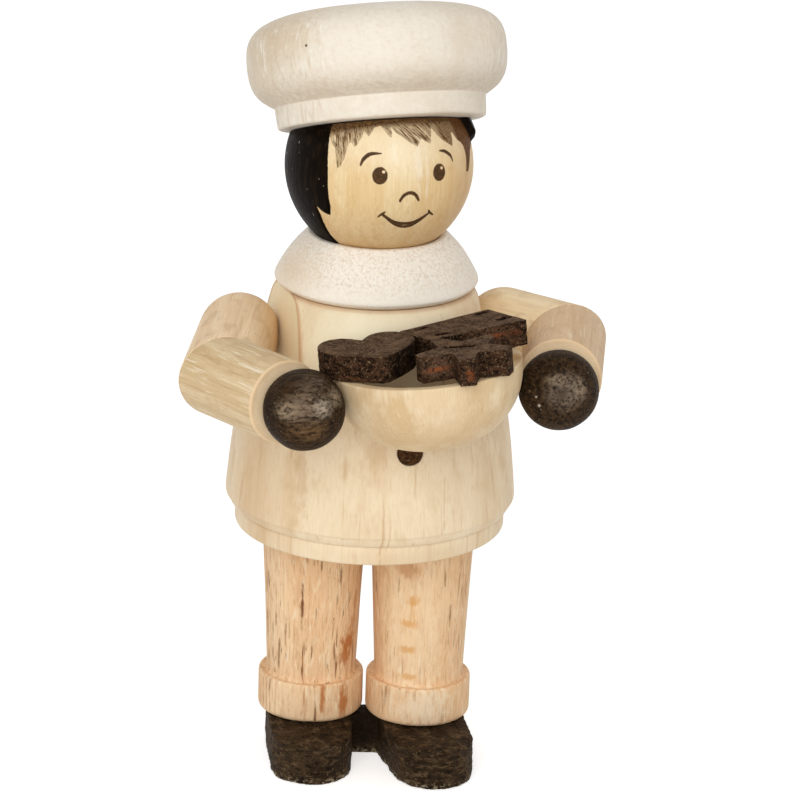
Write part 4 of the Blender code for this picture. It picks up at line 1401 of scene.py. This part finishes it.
# The hands' grain in the camera's frame, with each one's painted highlights and painted shade, and how
# clear its rings are
HAND_GRAIN = {"right": (1.0, 0.05, 0.05), "left": (0.1, -1.0, 0.35)}
HAND_LIGHT_AND_SHADE = {
    "right": [
        ((-1.4, 0.6, -3.5), (3.4, 3.6, 1.6), 0.95, (26, 16, 9)),
        ((-3.7, -1.0, 0.2), (2.0, 1.9, 3.2), 0.60, (122, 92, 62)),
        ((-1.7, 3.2, 0.8), (2.2, 1.6, 2.6), 0.45, (126, 108, 92)),
        ((-3.4, 1.4, 0.2), (2.4, 2.2, 3.6), 0.70, (150, 128, 106)),
        ((-3.2, 1.0, -1.8), (1.5, 1.2, 1.8), 0.60, HIGHLIGHT_TAN),
        ((-3.1, 1.2, 1.7), (1.5, 1.3, 1.4), 0.55, (198, 182, 160)),
        ((-1.6, 1.8, 2.9), (1.7, 1.5, 1.2), 0.60, HIGHLIGHT_TAN),
    ],
    "left": [
        ((0.3, -0.2, 3.6), (2.9, 2.6, 2.8), 0.66, SHEEN),
        ((1.5, 0.1, 3.3), (1.0, 1.5, 1.3), 0.50, HIGHLIGHT_TAN),
        ((-0.6, 0.9, 3.5), (1.6, 0.7, 1.3), 0.55, HIGHLIGHT_TAN),
        ((-0.2, -0.4, 3.8), (1.0, 1.0, 1.2), 0.80, (62, 46, 36)),
        ((-2.2, -1.5, 2.7), (0.22, 0.22, 0.3), 0.95, SPARK),
        ((-2.5, -0.7, 2.8), (0.16, 0.16, 0.3), 0.9, SPARK),
        ((-2.0, -1.8, 2.5), (0.16, 0.2, 0.3), 0.9, SPARK),
    ],
}
HAND_RINGS = {"right": 0.0, "left": 0.3}


def dowel_mesh(place, mitre, gap, reach, end):
    """A length of arm along its own Z, from the elbow's mitre to the reach and on by its end's line."""
    around = circle(ARM_ROUND) * ARM_R
    way = place.inverted().to_3x3() @ mitre
    start = (gap - around[:, :2] @ np.array(way[:2])) / way.z
    rows = [around + UP * (start + (reach - start) * share)[:, None] for share in ARM_ROWS]
    rim = around * (1.0 - ELBOW_EASE / ARM_R) + UP * start[:, None]
    return skin(revolve(end, ARM_ROUND) + rows + [rim, tip(gap / way.z)])


def make_sleeve(name, side, shoulder, elbow, mitre):
    """The upper arm, its ball end sawn to lie on the coat's flat."""
    reach = (shoulder - elbow).length
    place = along(elbow, (shoulder - elbow).normalized())
    ball = [(radius, reach + height) for radius, height in oval(ARM_R, ARM_R, 2.0, 21)[:0:-1]]
    mesh = dowel_mesh(place, mitre, -GLUE / 2.0, reach, ball)
    spots, _ = spots_of(mesh)
    across, ahead, height = np.array(place.to_3x3()) @ spots.T + np.array(elbow)[:, None]
    past = flat_out(height) + GLUE - side * across
    past = past + SHOULDER_TURN[name] * np.maximum(shoulder.y - ahead, 0.0)
    push = np.array(place.inverted().to_3x3() @ Vector((side, 0.0, 0.0)))
    move_spots(mesh, spots + np.maximum(past, 0.0)[:, None] * push)
    field(mesh, "saw_edge", ramp(past, -SAW_EDGE, 0.0))
    # The shoulder field marks the painted shadow near the flat.
    field(mesh, "shoulder", ramp(past, -SHOULDER_SHADOW_REACH, 0.0))
    finish = arm_wood(name + "_sleeve_wood", 13.0 + 4.0 * side, *SLEEVE_LOOKS[name])
    piece(name + "_sleeve", mesh, finish, name + "_upper_arm", HEM @ place)


def make_forearm(name, side, elbow, hand, mitre):
    """The forearm, its end dished for the hand."""
    reach = (hand - elbow).length - HAND_OUT
    place = along(elbow, (hand - elbow).normalized())
    seat = HAND_R + GLUE
    dish_r = math.sqrt(seat**2 - HAND_OUT**2)
    dish = [(r, reach + HAND_OUT - math.sqrt(seat**2 - r**2)) for r in np.linspace(0.0, dish_r, 16)[:-1]]
    edge = eased([(ARM_R, reach - FORE_EDGE, 0.0), (ARM_R, reach, FORE_EASE), (dish_r, reach, DISH_EASE)])
    end = dish + dense(edge, 0.12)[:0:-1]
    mesh = dowel_mesh(place, mitre, GLUE / 2.0, reach - FORE_EDGE, end)
    finish = arm_wood(name + "_forearm_wood", 23.0 + 4.0 * side, *FOREARM_LOOKS[name], reach)
    piece(name + "_forearm_dowel", mesh, finish, name + "_forearm", HEM @ place)


def make_hand(name, side, hand):
    line = [(HAND_R * math.sin(a), HAND_R * math.cos(a)) for a in np.linspace(0.0, math.pi, 73)]
    mesh = roughen(skin(revolve(line, 128)), "hand", side)
    finish = dark_stain(name + "_hand_stain", 33.0 + 4.0 * side, HAND_LIGHT_AND_SHADE[name], HAND_RINGS[name])
    grain = VIEW.to_3x3() @ Vector(HAND_GRAIN[name])
    piece(name + "_hand_ball", mesh, finish, name + "_hand", HEM @ along(hand, grain))


def make_arm(name, side):
    shoulder, elbow, hand = arm_spots(name, side)
    mitre = ((hand - elbow).normalized() - (shoulder - elbow).normalized()).normalized()
    make_sleeve(name, side, shoulder, elbow, mitre)
    make_forearm(name, side, elbow, hand, mitre)
    make_hand(name, side, hand)


# Bowl

def make_bowl():
    inner = [(r, -h) for r, h in oval(BOWL_R - BOWL_WALL, BOWL_DEEP - BOWL_WALL, BOWL_FULL, 60)]
    outer = [(r, -h) for r, h in oval(BOWL_R, BOWL_DEEP, BOWL_FULL, 60)]
    corners = plain(inner[:0:-1]) + [(*inner[0], 0.12), (*outer[0], 0.2)] + plain(outer[1:])
    mesh = turned(eased(corners), 224)
    room = [(radius + GLUE, height) for radius, height in coat_side()]
    above = COAT_TALL + BOWL_DEEP
    line = [(0.0, above), (COAT_TOP_R + GLUE, above)] + room + [(0.0, RING_TALL)]
    mesh = carve(mesh, (skin(revolve(line, 144)), BOWL.inverted() @ HEM))
    piece("bowl_turned", mesh, BOWL_WOOD, "bowl", BOWL)


# Gingerbread: boards in the bowl's frame, from its rim up

HEART_HALF = [
    (0.0, 0.29), (0.15, 0.40), (0.38, 0.495), (0.66, 0.485), (0.90, 0.365), (1.0, 0.175), (0.94, 0.0),
    (0.74, -0.165), (0.40, -0.345), (0.06, -0.50),
]


def heart_outline():
    right = [(x * HEART_WIDE / 2.0, y * HEART_LONG) for x, y in HEART_HALF]
    right = smooth(right[:-1], 5) + right[-1:]
    return [(-x, y) for x, y in right[1:]] + right[:0:-1] + right[:1]


def star_outline():
    line = []
    for way, half, waist_way, waist in STAR_POINTS:
        for angle, radius in ((way - half, 1.0), (way + half, 1.0), (waist_way, waist)):
            angle = math.radians(angle)
            line.append((STAR_R * radius * math.cos(angle), STAR_R * radius * math.sin(angle)))
    return line


def bar_outline():
    front_left, front_right = BAR_FRONT
    return [
        (BAR_START, -front_left), (BAR_END[0], -front_right), (BAR_END[1], BAR_BACK), (BAR_START, BAR_BACK),
    ]


def board(outline, thick):
    """A closed board of the outline's shape, its foot at nothing."""
    shape = bmesh.new()
    face = shape.faces.new([shape.verts.new((x * MM, y * MM, 0.0)) for x, y in outline])
    made = bmesh.ops.extrude_face_region(shape, geom=[face])
    top = [v for v in made["geom"] if isinstance(v, bmesh.types.BMVert)]
    bmesh.ops.translate(shape, verts=top, vec=(0.0, 0.0, thick * MM))
    bmesh.ops.recalc_face_normals(shape, faces=shape.faces)
    return meshed(shape)


def slot_tool(long, wide, deep):
    """A round-ended cutter for a pressed-in slot."""
    half = wide / 2.0
    line = []
    for end in (1.0, -1.0):
        for step in range(9):
            angle = math.radians(-90.0 * end + 22.5 * step)
            line.append((end * (long / 2.0 - half) + half * math.cos(angle), half * math.sin(angle)))
    return board(line, deep)


# Painted glints and painted light on some sawn sides, and painted shadow where the pieces crowd one another
BREAD_LIGHT_AND_SHADE = {
    "gingerbread_heart": [
        ((-2.5, -2.0, 0.4), (2.5, 2.5, 0.25), 0.5, (96, 58, 34)),
        ((3.5, -1.3, 1.0), (2.6, 2.6, 5.0), 1.0, GAP_SHADOW),
        ((1.6, -3.3, 1.0), (2.0, 2.0, 5.0), 1.0, GAP_SHADOW),
    ],
    "gingerbread_star": [
        ((-3.0, -1.6, 1.4), (2.4, 1.8, 1.8), 0.70, (116, 88, 70)),
        ((-3.0, -1.4, 1.15), (1.9, 1.3, 0.34), 0.95, GLINT),
        ((-0.9, -4.6, 1.0), (0.6, 0.9, 0.85), 0.70, GLINT),
        ((-1.75, -2.6, 1.2), (0.6, 1.7, 2.4), 0.60, GAP_SHADOW),
    ],
    "gingerbread_bar": [
        ((6.2, -3.2, 1.3), (4.4, 1.3, 1.8), 0.65, (110, 80, 60)),
        ((6.1, -3.25, 1.45), (3.0, 0.9, 0.40), 1.0, GLINT),
        ((8.9, -3.60, 1.4), (0.9, 0.8, 0.40), 0.50, GLINT),
        ((1.2, -2.6, 1.0), (3.4, 1.2, 2.4), 0.90, GAP_SHADOW),
    ],
}


def slot_field(spots, thick, slots):
    """One inside a pressed-in slot, below the board's face, and nothing outside it."""
    height = spots[:, 2]
    sunk = (height < thick - SLOT_EDGE) & (height > thick - SLOT_DEEP - SLOT_EDGE)
    pocket = np.zeros(len(spots))
    for x, y, long, wide, turn in slots:
        turn = math.radians(turn)
        off = spots[:, :2] - np.array([x, y])
        along_it = np.abs(off @ np.array([math.cos(turn), math.sin(turn)])) - (long - wide) / 2.0
        over_it = off @ np.array([-math.sin(turn), math.cos(turn)])
        inside = wide / 2.0 + SLOT_WALL - np.hypot(np.maximum(along_it, 0.0), over_it)
        pocket = np.maximum(pocket, np.where(sunk, ramp(inside, 0.0, SLOT_WALL), 0.0))
    return pocket


def bread_mesh(outline, thick, slots, seed):
    """A sawn board, rough on its sides and smoother on its faces, with its slots pressed in."""
    mesh = board(outline, thick)
    tools = []
    for x, y, long, wide, turn in slots:
        tools.append((slot_tool(long, wide, SLOT_TALL), at((x, y, thick - SLOT_DEEP)) @ turned_by(turn)))
    if tools:
        mesh = carve(mesh, *tools)
    mesh = remeshed(mesh, BREAD_VOXEL)
    spots, normals = spots_of(mesh)
    side = np.clip(1.7 - 2.6 * np.abs(normals[:, 2]), 0.0, 1.0)
    rough = roughness(spots, ROUGH["bread side"], seed)
    flat_rough = roughness(spots, ROUGH["bread face"], seed)
    move_spots(mesh, spots + normals * (side * rough + (1.0 - side) * flat_rough)[:, None])
    field(mesh, "side", side)
    field(mesh, "pocket", slot_field(spots, thick, slots))
    return mesh


def make_bread():
    pieces = (
        ("gingerbread_heart", heart_outline(), BREAD_TALL, at(HEART_AT), []),
        ("gingerbread_star", star_outline(), BREAD_TALL, at((*STAR_AT, GLUE)), STAR_SLOTS),
        ("gingerbread_bar", bar_outline(), BAR_TALL, at((*BAR_AT, GLUE)) @ turned_by(BAR_TURN), BAR_SLOTS),
    )
    for seed, (node, outline, thick, place, slots) in enumerate(pieces):
        mesh = bread_mesh(outline, thick, slots, seed)
        finish = burnt_board(node + "_burnt", 6.0 + seed, BREAD_LIGHT_AND_SHADE[node])
        piece(node + "_sawn", mesh, finish, node, BOWL @ place)


make_shoes()
make_legs()
make_coat()
make_button()
make_collar()
make_head()
make_hat()
for arm_name, arm_side in SIDES:
    make_arm(arm_name, arm_side)
make_bowl()
make_bread()
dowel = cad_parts["neck_dowel"]
dowel.data.materials.clear()
dowel.data.materials.append(beech("dowel_beech", 51.0))


# Floor, light and camera

def seen(tree):
    """One for rays from the camera and through or off a clear surface, which see the white studio."""
    path = tree.nodes.new("ShaderNodeLightPath").outputs
    total = path["Is Camera Ray"]
    for name in ("Is Glossy Ray", "Is Transmission Ray"):
        total = wired(tree, "ShaderNodeMath", {0: total, 1: path[name]}, operation="MAXIMUM")
    return total


def make_floor():
    made = bpy.data.materials.new("floor")
    made.use_nodes = True
    tree = made.node_tree
    glow = wired(tree, "ShaderNodeMath", {0: seen(tree), 1: FLOOR_GLOW}, operation="MULTIPLY")
    fill(tree, tree.nodes["Principled BSDF"], {
        "Base Color": FLOOR_WHITE,
        "Roughness": 0.9,
        "Specular IOR Level": 0.1,
        "Emission Color": WHITE,
        "Emission Strength": glow,
    })
    floor = link("floor", block(FLOOR_SIZE), at((0.0, 0.0, -FLOOR_SIZE[2] / 2.0)))
    floor.data.materials.append(made)


def make_world():
    world = bpy.data.worlds.new("studio")
    bpy.context.scene.world = world
    world.use_nodes = True
    tree = world.node_tree
    light = fill(tree, tree.nodes["Background"], {"Color": WHITE, "Strength": WORLD_LIGHT})
    white = wired(tree, "ShaderNodeBackground", {"Color": WHITE, "Strength": 1.0})
    both = wired(tree, "ShaderNodeMixShader", {0: seen(tree), 1: light.outputs[0], 2: white})
    fill(tree, tree.nodes["World Output"], {"Surface": both})


def make_lamp():
    data = bpy.data.lights.new("key", "AREA")
    data.shape = "SQUARE"
    data.size = KEY_SIZE * MM
    data.energy = KEY_LIGHT
    way = (Vector(KEY_AIM) - Vector(KEY_AT)).normalized()
    link("key", data, VIEW @ at(KEY_AT) @ way.to_track_quat("-Z", "Y").to_matrix().to_4x4())


def make_camera():
    data = bpy.data.cameras.new("camera")
    data.lens = LENS
    data.sensor_width = SENSOR
    data.clip_start = 0.01
    turn = Matrix.Rotation(math.radians(90.0 - LOOK_DOWN), 4, "X") @ turned_by(ROLL)
    place = VIEW @ at((AIM_RIGHT, 0.0, AIM_UP)) @ turn @ at((0.0, 0.0, FAR))
    bpy.context.scene.camera = link("camera", data, place)


make_floor()
make_world()
make_lamp()
make_camera()
bpy.context.scene.view_settings.view_transform = "Standard"
